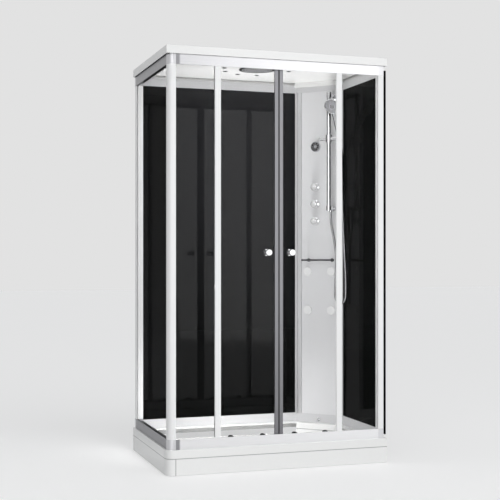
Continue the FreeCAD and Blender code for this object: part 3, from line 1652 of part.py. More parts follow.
def build_steam():
    middle = "column_length / 2"
    rear = "wall_recess + column_skin"
    x = f"{middle} - generator_width / 2"
    y = f"{rear} + generator_gap"
    case = box(
        "generator_case",
        (x, y, "generator_foot"),
        "generator_width",
        "generator_depth",
        "generator_height",
    )
    soft = rounded("generator_soft", case, "6", steep)
    ears = [
        box(f"generator_ear_{word}", (f"{middle} - 20", rear, z), "40", "generator_gap + 1", "16")
        for word, z in (("low", "generator_foot + 30"), ("high", "generator_foot + generator_height - 46"))
    ]
    port = rod("generator_port", (middle, f"{y} + generator_depth / 2", "generator_foot - 12"),
               "steam_diameter + 6", "14")
    on_column("steam_generator", join("generator_solid", soft, *ears, port))
    axis = f"{y} + generator_depth / 2"
    nozzle = rod("steam_nozzle", (middle, "-3", "steam_height"), "steam_diameter - 2 * fit_gap",
                 f"{axis} + 3", "back")
    collar = rod("steam_collar", (middle, "-3", "steam_height"), "steam_diameter + 6", "3 - 0.05", "back")
    elbow = ball("steam_elbow", (middle, axis, "steam_height"), "steam_diameter - 2 * fit_gap")
    climb = rod("steam_climb", (middle, axis, "steam_height"), "steam_diameter - 2 * fit_gap",
                "generator_foot - 12 - steam_height")
    bore = rod("steam_bore", (middle, "-4", "steam_height"), "steam_diameter - 6", "20", "back")
    on_column("steam_outlet", cut("steam_pipe", join("steam_solid", nozzle, collar, elbow, climb), bore))


# ------------------------------------------------------------------ build, check and write

fill_sheet()
build_tray()
build_aprons()
build_frame()
build_waste()
build_rails()
build_connectors()
build_posts()
build_clear_glass()
build_mullions()
build_wall_profiles()
build_black_glass()
build_column()
build_control_panel()
build_knobs()
build_pipes()
build_jets()
build_towel_bar()
build_slide_bar()
build_slider()
build_handset()
build_hose()
build_doors()
build_roof()
build_steam()
document.recompute()

failed = [item.Name for item in document.Objects if {"Invalid", "Error"} & set(item.State)]
failed += [item.Label for item in pieces if item.Shape.isNull() or not item.Shape.isValid()]
if failed:
    raise RuntimeError("these did not build: " + ", ".join(failed))

os.makedirs("parts", exist_ok=True)
for item in pieces:
    item.Shape.exportStep(f"parts/{item.Label}.step")
print(len(pieces), "sub-parts,", sum(len(item.Shape.Solids) for item in pieces), "solids")
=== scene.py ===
"""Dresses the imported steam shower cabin: finishes, hose, hand shower, nozzles, display and stage.

Lengths are metres in the part's own frame: +X right along the front, +Y from the front to the back,
+Z up, with the origin on the floor under the middle of the tray.
"""

import math

import bmesh
import bpy
import numpy as np
from mathutils import Matrix, Vector


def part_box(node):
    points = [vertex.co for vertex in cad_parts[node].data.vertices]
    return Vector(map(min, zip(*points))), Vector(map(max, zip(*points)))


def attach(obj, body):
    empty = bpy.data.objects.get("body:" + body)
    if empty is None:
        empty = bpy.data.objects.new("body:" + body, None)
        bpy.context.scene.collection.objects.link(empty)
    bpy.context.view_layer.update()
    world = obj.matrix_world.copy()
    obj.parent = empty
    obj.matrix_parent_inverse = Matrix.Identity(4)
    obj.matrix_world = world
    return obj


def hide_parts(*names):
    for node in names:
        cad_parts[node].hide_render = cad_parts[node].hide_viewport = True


bl_info = {
    "name": "Steam shower cabin",
    "version": (1, 0, 0),
    "blender": (4, 5, 0),
    "location": "View3D > Sidebar > Cabin",
    "description": "Finishes and fine pieces of a corner shower cabin",
    "category": "Object",
}

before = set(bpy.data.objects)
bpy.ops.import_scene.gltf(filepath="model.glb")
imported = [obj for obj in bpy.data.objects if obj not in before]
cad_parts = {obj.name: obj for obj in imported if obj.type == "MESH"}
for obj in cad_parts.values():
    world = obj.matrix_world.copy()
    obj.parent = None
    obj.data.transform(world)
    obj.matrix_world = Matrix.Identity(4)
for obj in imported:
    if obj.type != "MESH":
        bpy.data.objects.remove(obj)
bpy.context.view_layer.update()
MM = 0.001

# The column's face turns by 45 degrees between its left end and the right wall.
COLUMN_START = np.array([0.372, 0.385, 0.0])
DIAGONAL = math.sqrt(0.5)
ALONG = np.array([DIAGONAL, -DIAGONAL, 0.0])  # to the right along the column's face
INWARD = np.array([DIAGONAL, DIAGONAL, 0.0])  # through the column's face towards the room's corner
UP = np.array([0.0, 0.0, 1.0])

# The camera that sees the cabin as the photograph does.
CAMERA_PLACE = Vector((-1.8834, -5.6997, 1.0934))
CAMERA_HEADING = Vector((0.3198, 0.9475, 0.0))
CAMERA_LENS_MM = 78.8
CAMERA_SENSOR_MM = 36.0
CAMERA_SHIFT = (-0.0262, 0.0138)
CAMERA_END = 200  # the farthest that it sees

# The lamps: each one's place, the point that it looks at, and its width and height.
MIDDLE = (0, 0, 1.0)
RIGHT_BOX = ((3.65, -6.1, 2.4), MIDDLE, (5.0, 5.0))
LEFT_BOX = ((-3.1, -5.2, 1.6), MIDDLE, (2.6, 2.6))
INSIDE_LAMP = ((0, -0.05, 0.25), (0, -0.05, 2.1), (0.6, 0.6))
TRAY_LAMP = ((-0.1, -0.3, 1.0), (-0.1, 0.25, 0.1), (0.9, 0.2))
STRIP_LAMP = ((0.12, -0.22, 0.85), (0.55, 0.21, 0.85), (0.3, 1.8))
NARROW = 60  # degrees over which the lamps of the tray and the ceiling spread
SKY_PLACE = (2.5, -6.5, 6.5)
SKY_WIDTH = 50  # degrees of the sky that the even light comes from

# Where the hand shower sits on its holder.
BAR_LINE = 0.241  # slide bar from the column's left end
BAR_OUT = 0.0615  # slide bar's axis in front of the column's frame line
HOLDER_REACH = 0.064  # holder from the bar, along the column
HOLDER_HEIGHT = 1.776
HANDSET_LEAN = math.radians(28)
HOLDER_HALF = 0.020  # half the holder's length along the handle
NUT_DROP = 0.022  # end of the hose nut below the holder
HOSE_STRAIGHT = 0.022  # last run of the hose, in line with the handle

# The hose's free run, from its outlet: along the column, out from the panel, and up, in mm.
HOSE_STEPS = (
    (241, 36, 1352),
    (241, 36, 1315),
    (246, 37.5, 1276),
    (255, 37, 1232),
    (264, 34, 1180),
    (270, 31, 1128),
    (272, 29, 1068),
    (270, 27.3, 1008),
    (266.5, 26.2, 952),
    (265.2, 25.8, 900),
    (265.5, 26, 856),
    (280.5, 32.5, 833),
    (305, 43, 824.5),
    (329.8, 53.5, 833.5),
    (345, 60, 857),
    (345.8, 60.4, 901),
    (345, 60.2, 950),
    (342.8, 59.4, 1005),
    (339.2, 57.6, 1063),
    (334.8, 54.8, 1122),
    (330, 51.3, 1182),
    (325.2, 47.2, 1241),
    (320.8, 42.8, 1300),
    (316.8, 38.2, 1360),
    (313.4, 33.6, 1420),
    (310.6, 29.2, 1480),
    (308.4, 25.4, 1539),
    (306.8, 22.8, 1596),
    (305.8, 21.8, 1645),
    (305.3, 23.6, 1685),
)
WALL_RECESS = 0.0025  # the panel's face behind the column's frame line
# The hose's loop lies near the plane of ALONG and UP, so the hose never runs along this direction.
ACROSS_LOOP = ALONG + 1.7 * INWARD

# The hand shower's head: depths from its front, edges from its rim.
HEAD_ROUND = 0.0035  # rounding of the rim
POCKET_DEPTH = 0.0015  # pocket that the spray face sits in
POCKET_EDGE = 0.0065
POCKET_LIP = 0.0055
BACK_START = 0.009  # where the domed back begins
BACK_FULLNESS = 0.9  # power of the back's cosine: the smaller, the fuller
FACE_DEPTH = 0.0012
FACE_EDGE = 0.0068
FACE_THICKNESS = 0.002
FACE_BEVEL = (0.0006, 0.0004)  # across and deep
FACE_GROOVE = (0.0165, 0.016, 0.0155, 0.015)  # radii, from its outer to its inner edge
GROOVE_DEPTH = 0.0006
NOZZLE_HEIGHT = 0.0016
NOZZLES = {  # how many stand in each ring, the pitch of the rings, a nozzle's radius
    "middle": ((6,), 0.0095, 0.0036),
    "outer": ((0, 0, 16, 22, 28), 0.0073, 0.0024),
}

# The overhead shower's nozzles.
OVERHEAD_RINGS = (6, 12, 18, 24, 30, 36)
OVERHEAD_MARGIN = 0.020  # outer ring from the shower's edge
OVERHEAD_NOZZLE = (0.0034, 0.0032)  # radius and height
OVERHEAD_FACE = 0.001  # the face above the shower's lowest point

# The display: a ring of glass with dots. Its heights start at the floor of its rim's pocket.
DISPLAY_POCKET = 0.003
DISPLAY_EDGE = 0.006  # from the rim's outside
DISPLAY_GAP = 0.0008  # round the button
DISPLAY_FOOT = 0.0002
DISPLAY_SHOULDER = 0.0012  # foot of the bevel
DISPLAY_TOP = 0.0016
DISPLAY_BEVEL = 0.0004
MARKS = 8
MARK_RADIUS = 0.0022
MARK_FOOT, MARK_TOP = -0.0002, 0.0001  # from the display's face

# Where the materials change their colour, with painted shade and painted reflection: from one place
# to the other, in the part's frame.
NOISE_REACH = (0.3, 0.7)  # values that nearly all of a noise lies between
LEFT_PAINTED_SHADE = (-0.535, -0.525)  # X at the end of the painted shade on the rails' left side, which stands in for a darker reflection
SEAM_SHADOW_REACH = (0.5 * MM, 2.5 * MM)  # away from a seam's plane, over which its painted shadow fades
# Colour of the painted shadow in a seam's gap.
SEAM_PAINTED_SHADOW = "8C8C8C"
WALL_PAINTED_REFLECTION_CLIMB = (0.2, 2.0)  # Z over which a painted reflection makes the black glass paler
WALL_PAINTED_REFLECTION_EDGE = (-0.40, -0.35)  # X at the end of the black glass's dark left edge, which has no painted reflection
SIDE_COVER_PART = 5  # the side pane hides a fifth of what the other clear panes hide
RIGHT_GLOSS_PART = 12  # the right wall has a twelfth of the back wall's gloss

WELD = 1e-6  # points nearer than this are one
RING_TURN = 0.37  # radians by which a ring of nozzles is turned from the ring inside it


# --- Colours, nodes and materials --------------------------------------------------------------


def linear(text):
    """Linear RGBA of an sRGB hex colour such as "E8E8E6"."""
    parts = [int(text[start : start + 2], 16) / 255 for start in (0, 2, 4)]
    return [c / 12.92 if c <= 0.04045 else ((c + 0.055) / 1.055) ** 2.4 for c in parts] + [1.0]


def add(tree, kind, inputs=None, **settings):
    """Adds a node: settings are its own attributes, and an input is a socket to link or a value."""
    node = tree.nodes.new(kind)
    for name, value in settings.items():
        setattr(node, name, value)
    for name, value in (inputs or {}).items():
        if isinstance(value, bpy.types.NodeSocket):
            tree.links.new(value, node.inputs[name])
        else:
            node.inputs[name].default_value = value
    return node


def started(name):
    """A new material with nothing in its node tree."""
    made = bpy.data.materials.new(name)
    made.use_nodes = True
    made.node_tree.nodes.clear()
    return made, made.node_tree


def surfaced(made, inputs):
    """The material with a principled surface that has these inputs."""
    body = add(made.node_tree, "ShaderNodeBsdfPrincipled", inputs)
    add(made.node_tree, "ShaderNodeOutputMaterial", {"Surface": body.outputs["BSDF"]})
    return made


def computed(tree, operation, *values):
    """The result of a math operation on sockets and numbers."""
    return add(tree, "ShaderNodeMath", dict(enumerate(values)), operation=operation).outputs[0]


def noise(tree, size, stretch=(1, 1, 1), detail=3.0):
    """Noise with features about size metres wide on the piece, longer along small stretches."""
    place = add(tree, "ShaderNodeTexCoord").outputs["Object"]
    turned = add(tree, "ShaderNodeMapping", {"Vector": place, "Scale": stretch}).outputs["Vector"]
    return add(
        tree, "ShaderNodeTexNoise", {"Vector": turned, "Scale": 1 / size, "Detail": detail}
    ).outputs["Fac"]


def between(tree, factor, low, high):
    """A number that goes from low to high over a noise's reach."""
    first, last = NOISE_REACH
    return add(
        tree,
        "ShaderNodeMapRange",
        {"Value": factor, "From Min": first, "From Max": last, "To Min": low, "To Max": high},
    ).outputs["Result"]


def colour_mix(tree, factor, one, other):
    """A colour that goes from one to the other with the factor; each is hex or a socket."""
    mix = add(tree, "ShaderNodeMix", data_type="RGBA")
    tree.links.new(factor, mix.inputs[0])
    for socket, colour in ((mix.inputs[6], one), (mix.inputs[7], other)):
        if isinstance(colour, str):
            socket.default_value = linear(colour)
        else:
            tree.links.new(colour, socket)
    return mix.outputs[2]


def level_of(tree, axis):
    """How far along an axis of the part's frame the shaded point lies."""
    place = add(tree, "ShaderNodeTexCoord").outputs["Object"]
    return add(tree, "ShaderNodeSeparateXYZ", {"Vector": place}).outputs[axis]


def ramp(tree, value, low, high):
    """Nought below low, one above high and a soft step between."""
    return add(
        tree,
        "ShaderNodeMapRange",
        {"Value": value, "From Min": low, "From Max": high, "To Min": 0.0, "To Max": 1.0},
        interpolation_type="SMOOTHSTEP",
    ).outputs["Result"]


def finish(
    name, colours, roughness, grain, height=0.0, stretch=(1, 1, 1), joints=(), left=None, **shader
):
    """A surface whose colour and roughness wander between two values over a grain of a given size.

    height is the relief in metres, joints are planes (axis, place) along which a painted
    seam shadow shows, left is a painted shade on the cabin's left side, and shader holds the
    shader's other sockets by name.
    """
    made, tree = started(name)
    factor = noise(tree, grain, stretch)
    colour = colour_mix(tree, factor, *colours)
    # Painted shade: the rails' left side takes a darker colour, standing in for a darker reflection
    # there.
    if left:
        colour = colour_mix(tree, ramp(tree, level_of(tree, "X"), *LEFT_PAINTED_SHADE), left, colour)
    # Painted shadow: a thin darker line along each seam between parts.
    for axis, place in joints:
        away = computed(tree, "ABSOLUTE", computed(tree, "SUBTRACT", level_of(tree, axis), place))
        colour = colour_mix(tree, ramp(tree, away, *SEAM_SHADOW_REACH), SEAM_PAINTED_SHADOW, colour)
    inputs = {"Base Color": colour, "Roughness": between(tree, factor, *roughness)}
    if height:
        inputs["Normal"] = add(
            tree, "ShaderNodeBump", {"Height": factor, "Distance": height, "Strength": 1.0}
        ).outputs["Normal"]
    inputs.update({socket.replace("_", " "): value for socket, value in shader.items()})
    return surfaced(made, inputs)


def cast_acrylic(name, colour, joints=()):
    """Cast acrylic, vacuum formed: deep gloss with a faint orange peel some 12 mm across."""
    colours = (colour, "F1F1F0")
    return finish(name, colours, (0.10, 0.16), 12 * MM, 0.02 * MM, joints=joints, IOR=1.49)


def moulded_abs(name, dark, pale, roughness=(0.28, 0.36)):
    """Injection moulded ABS: satin, with a fine eroded grain drawn at 1.2 mm so that it shows."""
    return finish(name, (dark, pale), roughness, 1.2 * MM, 0.015 * MM, IOR=1.53)


def anodised_aluminium(name, dark, pale, stretch, roughness=(0.26, 0.38), left=None):
    """Extruded aluminium, brushed and anodised: satin metal with streaks along the profile."""
    return finish(
        name, (dark, pale), roughness, 1.5 * MM, 0.004 * MM, stretch, left=left, Metallic=1.0
    )


def polished_metal(name, dark, pale, roughness=(0.03, 0.08)):
    """Polished or chrome plated metal: a mirror with soft cloudy wear some 20 mm across."""
    return finish(name, (dark, pale), roughness, 20 * MM, Metallic=1.0)


def powder_coat(name, colour, pale="F6F6F6"):
    """Polyester powder coat on aluminium: satin, with an orange peel of 1.5 mm."""
    return finish(name, (colour, pale), (0.30, 0.38), 1.5 * MM, 0.01 * MM, IOR=1.5)


def clear_glass(name, tint, cover):
    """Toughened float glass: nearly unseen, with a hard gloss and a slight haze of wiping marks."""
    made, tree = started(name)
    marks = noise(tree, 60 * MM, (1, 1, 0.35))
    return surfaced(made, {
        "Base Color": linear(tint),
        "Roughness": between(tree, marks, 0.01, 0.05),
        "IOR": 1.52,
        "Specular IOR Level": 0.25,
        "Alpha": cover,
    })


def back_painted_glass(name, upper, lower, gloss):
    """Black back-painted glass: a dark mirror, with a painted reflection that makes it paler
    towards its top and off its left edge.
    """
    made, tree = started(name)
    # Painted reflection: the colour turns from lower to upper up the glass and away from its left
    # edge.
    high = ramp(tree, level_of(tree, "Z"), *WALL_PAINTED_REFLECTION_CLIMB)
    inner = ramp(tree, level_of(tree, "X"), *WALL_PAINTED_REFLECTION_EDGE)
    ripple = noise(tree, 90 * MM, (1, 1, 0.4))
    return surfaced(made, {
        "Base Color": colour_mix(tree, computed(tree, "MULTIPLY", high, inner), lower, upper),
        "Roughness": between(tree, ripple, 0.015, 0.04),
        "IOR": 1.52,
        "Specular IOR Level": gloss,
    })


# --- Surfaces from formulas --------------------------------------------------------------------


def shell(name, points, material, body, crease=35):
    """Mesh over grids of points, whose last axes are rows, columns and x, y, z.

    Each row is a closed ring, and one that shrinks to a point is a pole. Any axis before these
    counts separate shells. Edges sharper than the crease, in degrees, stay sharp.
    """
    rows, columns = points.shape[-3:-1]
    flat = points.reshape(-1, rows * columns, 3)
    index = np.arange(rows * columns).reshape(rows, columns)
    after = np.roll(index, -1, axis=1)
    faces = np.stack([index[:-1], after[:-1], after[1:], index[1:]], axis=-1).reshape(-1, 4)
    every = (faces[None] + (np.arange(len(flat)) * rows * columns)[:, None, None]).reshape(-1, 4)
    mesh = bpy.data.meshes.new(name)
    mesh.from_pydata(flat.reshape(-1, 3).tolist(), [], every.tolist())
    work = bmesh.new()
    work.from_mesh(mesh)
    bmesh.ops.remove_doubles(work, verts=work.verts, dist=WELD)
    bmesh.ops.dissolve_degenerate(work, edges=work.edges, dist=WELD)
    bmesh.ops.recalc_face_normals(work, faces=work.faces)
    work.to_mesh(mesh)
    work.free()
    mesh.shade_smooth()
    mesh.set_sharp_from_angle(angle=math.radians(crease))
    piece = bpy.data.objects.new(name, mesh)
    bpy.context.scene.collection.objects.link(piece)
    mesh.materials.append(material)
    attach(piece, body)
    return piece


def square_to(axis):
    """Two unit vectors square to an axis and to each other."""
    axis = axis / np.linalg.norm(axis)
    side = np.cross(UP if abs(axis[2]) < 0.9 else ALONG, axis)
    side = side / np.linalg.norm(side)
    return axis, side, np.cross(axis, side)


def turned(profile, centres, axis, sides=48):
    """Profile of (radius, distance along the axis) pairs turned about the axis, at each centre."""
    axis, side, other = square_to(axis)
    profile = np.asarray(profile, float)
    centres = np.asarray(centres, float).reshape(-1, 1, 1, 3)
    angle = np.linspace(0, 2 * math.pi, sides, endpoint=False)
    ring = np.cos(angle)[:, None] * side + np.sin(angle)[:, None] * other
    return centres + profile[:, 0, None, None] * ring + profile[:, 1, None, None] * axis


def in_rings(counts, pitch):
    """Places on a flat face: one in the middle, then rings with a count each, a pitch apart."""
    places = [np.zeros((1, 2))]
    for ring, count in enumerate(counts, 1):
        angle = np.arange(count) * 2 * math.pi / count + ring * RING_TURN
        places.append(ring * pitch * np.stack([np.cos(angle), np.sin(angle)], axis=-1))
    return np.concatenate(places)


def nub(radius, height):
    """Profile of a rubber nozzle: a short cone with a rounded tip, from a sunk foot."""
    foot = -0.3 * height
    tip = np.linspace(0, math.pi / 2, 4)
    dome = np.stack([0.55 * radius * np.cos(tip), height * (0.7 + 0.3 * np.sin(tip))], axis=-1)
    return np.concatenate([[[0, foot], [radius, foot], [radius, 0.0]], dome])


# --- Sizes and colours that a user would change --------------------------------------------------


def hex_colour(name, default, description):
    """A hex colour property."""
    return bpy.props.StringProperty(name=name, default=default, description=description)


def number(name, default, low, high, description, **settings):
    """A number property between two limits."""
    return bpy.props.FloatProperty(
        name=name, default=default, min=low, max=high, description=description, **settings
    )


def length(name, default, low, high, description):
    """A length property, in metres."""
    return number(name, default, low, high, description, unit="LENGTH")


def share(name, default, description):
    """A property between nought and one."""
    return number(name, default, 0, 1, description, subtype="FACTOR")


def power(name, default, lamp):
    """The property of a lamp's power."""
    return number(name, default, 0, 2000, f"Power of {lamp}, in watts")


class CabinFinishes(bpy.types.PropertyGroup):
    acrylic: hex_colour("Acrylic", "F4F4F3", "Tray, aprons and roof")
    column: hex_colour("Column", "DEDEE0", "Fittings column")
    coat: hex_colour("Powder coat", "F2F2F2", "Posts and mullions")
    # The black glass's painted reflection near the top, and its dark colour near the tray.
    wall_painted_reflection: hex_colour("Wall, upper", "222224", "Black glass near the top")
    wall_lower: hex_colour("Wall, lower", "050505", "Black glass near the tray")
    glass: hex_colour("Clear glass", "1A1E1C", "Tint of the doors and fixed panes")
    glass_cover: share("Glass cover", 0.05, "Share of the view that a face of a clear pane hides")
    wall_gloss: share("Wall gloss", 0.14, "Specular level of the black glass")


class CabinHose(bpy.types.PropertyGroup):
    diameter: length("Diameter", 0.014, 0.008, 0.02, "Outside of the shower hose")
    pitch: length("Pitch", 0.0045, 0.002, 0.02, "Distance between the hose's spiral ribs")
    relief: length("Relief", 0.0006, 0, 0.002, "Depth between the ribs")


class CabinHandset(bpy.types.PropertyGroup):
    head: length("Head", 0.046, 0.03, 0.08, "Radius of the spray head")
    reach: length("Reach", 0.199, 0.1, 0.3, "Middle of the spray head from the holder")
    depth: length("Depth", 0.024, 0.01, 0.05, "Thickness of the spray head")
    handle: length("Handle", 0.0115, 0.008, 0.02, "Radius of the handle at the holder")


class CabinStage(bpy.types.PropertyGroup):
    floor: length("Floor", 60.0, 5, 200, "Side of the floor")
    sun: number("Sky lamp", 0.6, 0, 10, "Strength of the even light from the front right")
    right_box: power("Right softbox", 125.0, "the large softbox")
    left_box: power("Left softbox", 100.0, "the small softbox")
    inside: power("Inside lamp", 5.5, "the lamp that lights the ceiling")
    tray: power("Tray lamp", 2.0, "the lamp at the basin")
    strip: power("Strip lamp", 2.3, "the lamp at the column")


# --- Operators ---------------------------------------------------------------------------------

# How much a profile's streaks shrink the noise along X, Y and Z: the less, the longer.
LEVEL_STREAKS = (0.02, 0.02, 1.0)
UPRIGHT_STREAKS = (1.0, 1.0, 0.02)


def made_finishes(look):
    """Every material of the CAD nodes, by the nodes that it goes on."""
    joint, _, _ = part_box("front_apron")[0]
    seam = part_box("front_apron")[1][2]
    # 8A8A8D is the painted shade of the rails' left side.
    left = "8A8A8D"
    dim_gloss = look.wall_gloss / RIGHT_GLOSS_PART
    return (
        (cast_acrylic("cast_acrylic_white", look.acrylic), "roof_shell ceiling_panel"),
        # The tray and aprons take a painted shadow along their seam, and the aprons along their
        # joint too.
        (cast_acrylic("cast_acrylic_tray", look.acrylic, (("Z", seam),)), "shower_tray"),
        (
            cast_acrylic("cast_acrylic_aprons", look.acrylic, (("Z", seam), ("X", joint))),
            "front_apron side_apron",
        ),
        (
            moulded_abs("acrylic_faced_abs_column", look.column, "E3E3E4", (0.26, 0.34)),
            "column_panel",
        ),
        (
            anodised_aluminium(
                "anodised_aluminium_rails", "D0D0D2", "E2E2E3", LEVEL_STREAKS, (0.36, 0.5), left
            ),
            "bottom_rails",
        ),
        # A darker copy of the rails' aluminium, which paints shade onto the top rails.
        (
            anodised_aluminium(
                "anodised_aluminium_top_rails_painted_shade", "B8B8BB", "CDCDCF", LEVEL_STREAKS, left=left
            ),
            "top_rails",
        ),
        (
            anodised_aluminium("anodised_aluminium_stiles", "6A6A6D", "858588", UPRIGHT_STREAKS),
            "left_door_stile right_door_stile",
        ),
        (
            anodised_aluminium("anodised_aluminium_trims", "D6D6D8", "EAEAEB", UPRIGHT_STREAKS),
            "column_trims",
        ),
        (
            polished_metal("polished_aluminium_corners", "BEBEC1", "D2D2D4", (0.42, 0.52)),
            "rail_connectors",
        ),
        (powder_coat("powder_coated_aluminium", look.coat), "corner_post wall_posts mullions"),
        # A greyer copy of the posts' powder coat: painted shade on the profiles along the walls.
        (
            powder_coat("powder_coated_aluminium_painted_shade", "CBCBCD", "D8D8D9"),
            "wall_bottom_profiles wall_top_profiles",
        ),
        (
            clear_glass("toughened_clear_glass", look.glass, look.glass_cover),
            "front_glass left_door_glass right_door_glass",
        ),
        (
            clear_glass(
                "toughened_clear_glass_side", look.glass, look.glass_cover / SIDE_COVER_PART
            ),
            "side_glass",
        ),
        (
            back_painted_glass(
                "back_painted_black_glass", look.wall_painted_reflection, look.wall_lower, look.wall_gloss
            ),
            "back_glass_panel",
        ),
        # The right wall: the same black glass without the painted reflection, dark all over, with a
        # twelfth of the gloss.
        (
            back_painted_glass(
                "back_painted_black_glass_right", look.wall_lower, look.wall_lower, dim_gloss
            ),
            "right_glass_panel",
        ),
        (
            polished_metal("chrome_plated_brass", "C9C9CB", "DEDEDF"),
            "waste_cover slide_bar left_door_knob right_door_knob steam_outlet",
        ),
        # Chrome paler than the other chrome, so that the knobs' faces show bright: a painted
        # highlight.
        (
            polished_metal("satin_chrome_knobs_painted_highlight", "E9E9EA", "F4F4F5", (0.10, 0.2)),
            "temperature_knob flow_knob diverter_knob knob_escutcheons",
        ),
        (
            polished_metal("satin_chrome_plated_rim", "B4B4B8", "C8C8CB", (0.12, 0.22)),
            "control_panel",
        ),
        # Chrome darkened to stand in for the dark surroundings that the towel bar reflects: a
        # painted reflection.
        (polished_metal("chrome_plated_steel_painted_reflection", "4A4A4D", "626265"), "towel_bar"),
        (
            polished_metal("chrome_plated_abs", "D6D6D8", "E8E8E9", (0.05, 0.11)),
            "slider handset_holder handset",
        ),
        (
            moulded_abs("black_abs", "101011", "1B1B1D"),
            "levelling_feet left_door_hangers right_door_hangers",
        ),
        (moulded_abs("grey_abs_button", "8C8C8F", "9C9C9F"), "control_button"),
        (
            finish(
                "black_silicone_spray_face", ("0C0C0D", "161618"), (0.5, 0.6), 1.2 * MM, 0.015 * MM,
                Specular_IOR_Level=0.15,
            ),
            "overhead_shower",
        ),
        (moulded_abs("black_abs_spot_rings", "2A2A2C", "38383A"), "ceiling_spots"),
        (
            moulded_abs("white_abs_jets", "F0F0F0", "F8F8F8", (0.18, 0.26)),
            "jet_housings jet_nozzle_upper_left jet_nozzle_upper_right jet_nozzle_lower_left"
            " jet_nozzle_lower_right",
        ),
        (
            finish(
                "extruded_pvc_seal", ("1C1C1E", "29292B"), (0.45, 0.6), 2 * MM, 0.02 * MM,
                UPRIGHT_STREAKS,
            ),
            "left_door_seal right_door_seal",
        ),
        (
            moulded_abs("acetal_rollers", "D9D9D6", "E5E5E2"),
            "left_inner_roller left_outer_roller right_inner_roller right_outer_roller",
        ),
        (
            finish(
                "cast_brass", ("9C7A3E", "B8944F"), (0.3, 0.45), 3 * MM, 0.05 * MM, Metallic=1.0
            ),
            "valve_manifold",
        ),
        (
            finish(
                "galvanised_steel", ("8E9194", "B2B5B8"), (0.3, 0.5), 14 * MM, 0.01 * MM,
                Metallic=1.0,
            ),
            "tray_frame steam_generator",
        ),
        (
            moulded_abs("polypropylene_pipe", "C9C9C4", "D6D6D1", (0.35, 0.45)),
            "waste_trap water_pipes",
        ),
        (
            finish(
                "stainless_hose_spiral", ("B4B4B7", "CDCDCF"), (0.10, 0.2), 4 * MM, Metallic=1.0
            ),
            "shower_hose",
        ),
    )


class CABIN_OT_finishes(bpy.types.Operator):
    """Gives every CAD node the finish of its real material, some with painted shade and painted
    reflection
    """

    bl_idname = "cabin.finishes"
    bl_label = "Finishes"

    def execute(self, context):
        for material, names in made_finishes(context.scene.cabin_finishes):
            for name in names.split():
                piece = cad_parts[name]
                for place in piece.material_slots:
                    place.material = material
        missing = [
            name
            for name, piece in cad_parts.items()
            if piece.material_slots[0].material.name.startswith("slot")
        ]
        if missing:
            raise RuntimeError(f"no finish for {missing}")
        return {"FINISHED"}


def on_column(along, out, height):
    """A point that stands out from the column's frame line, in the part's frame."""
    return COLUMN_START + along * ALONG - out * INWARD + height * UP


def handset_axes():
    """The handset's pivot, the way up its handle and the way that its spray face looks."""
    pivot = on_column(BAR_LINE + HOLDER_REACH, BAR_OUT, HOLDER_HEIGHT)
    up = math.cos(HANDSET_LEAN) * UP - math.sin(HANDSET_LEAN) * INWARD
    look = -math.cos(HANDSET_LEAN) * INWARD - math.sin(HANDSET_LEAN) * UP
    return pivot, up, look


class CABIN_OT_hose(bpy.types.Operator):
    """Hangs the spiral shower hose from its outlet to the handset"""

    bl_idname = "cabin.hose"
    bl_label = "Shower hose"

    def execute(self, context):
        size = context.scene.cabin_hose
        pivot, up, _ = handset_axes()
        nut = pivot - up * (HOLDER_HALF + NUT_DROP)
        steps = [
            on_column(along * MM, out * MM - WALL_RECESS, height * MM)
            for along, out, height in HOSE_STEPS
        ]
        route = steps + [nut - up * HOSE_STRAIGHT, nut]
        line = self.smooth(route)
        points = spiral_tube(line, size.diameter / 2, size.relief, size.pitch)
        steel = bpy.data.materials["stainless_hose_spiral"]
        hose = shell("hose_spiral", points, steel, "cabin", crease=80)
        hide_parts("shower_hose")
        return {"FINISHED"}

    @staticmethod
    def smooth(route):
        """The route's NURBS line of order 3, as points close together."""
        curve = bpy.data.curves.new("hose_line", "CURVE")
        curve.dimensions = "3D"
        spline = curve.splines.new("NURBS")
        spline.points.add(len(route) - 1)
        for point, place in zip(spline.points, route):
            point.co = (*place, 1.0)
        spline.order_u = 3
        spline.use_endpoint_u = True
        spline.resolution_u = 24
        holder = bpy.data.objects.new("hose_line", curve)
        mesh = bpy.data.meshes.new_from_object(holder)
        line = np.empty(len(mesh.vertices) * 3)
        mesh.vertices.foreach_get("co", line)
        bpy.data.objects.remove(holder)
        bpy.data.curves.remove(curve)
        bpy.data.meshes.remove(mesh)
        return line.reshape(-1, 3)


def spiral_tube(line, radius, relief, pitch, sides=12, per_turn=5):
    """Tube along a line whose radius dips by relief once a pitch, on a slanting thread.

    Each ring's side is square to the line and to one fixed direction across its loop. The closing
    rings shrink to the line's ends.
    """
    steps = np.linalg.norm(np.diff(line, axis=0), axis=1)
    run = np.concatenate([[0], np.cumsum(steps)])
    places = np.linspace(0, run[-1], int(run[-1] / pitch * per_turn))
    centre = np.stack([np.interp(places, run, line[:, k]) for k in range(3)], axis=-1)
    heading = np.gradient(centre, axis=0)
    heading /= np.linalg.norm(heading, axis=1)[:, None]
    side = np.cross(heading, ACROSS_LOOP[None])
    side /= np.linalg.norm(side, axis=1)[:, None]
    other = np.cross(heading, side)
    angle = np.linspace(0, 2 * math.pi, sides, endpoint=False)
    phase = 2 * math.pi * places[:, None] / pitch - angle[None]
    reach = radius - relief * (0.5 - 0.5 * np.cos(phase))
    cosine, sine = np.cos(angle)[None, :, None], np.sin(angle)[None, :, None]
    ring = cosine * side[:, None] + sine * other[:, None]
    tube = centre[:, None] + reach[..., None] * ring
    first = np.repeat(centre[:1, None], sides, axis=1)
    last = np.repeat(centre[-1:, None], sides, axis=1)
    return np.concatenate([first, tube, last])


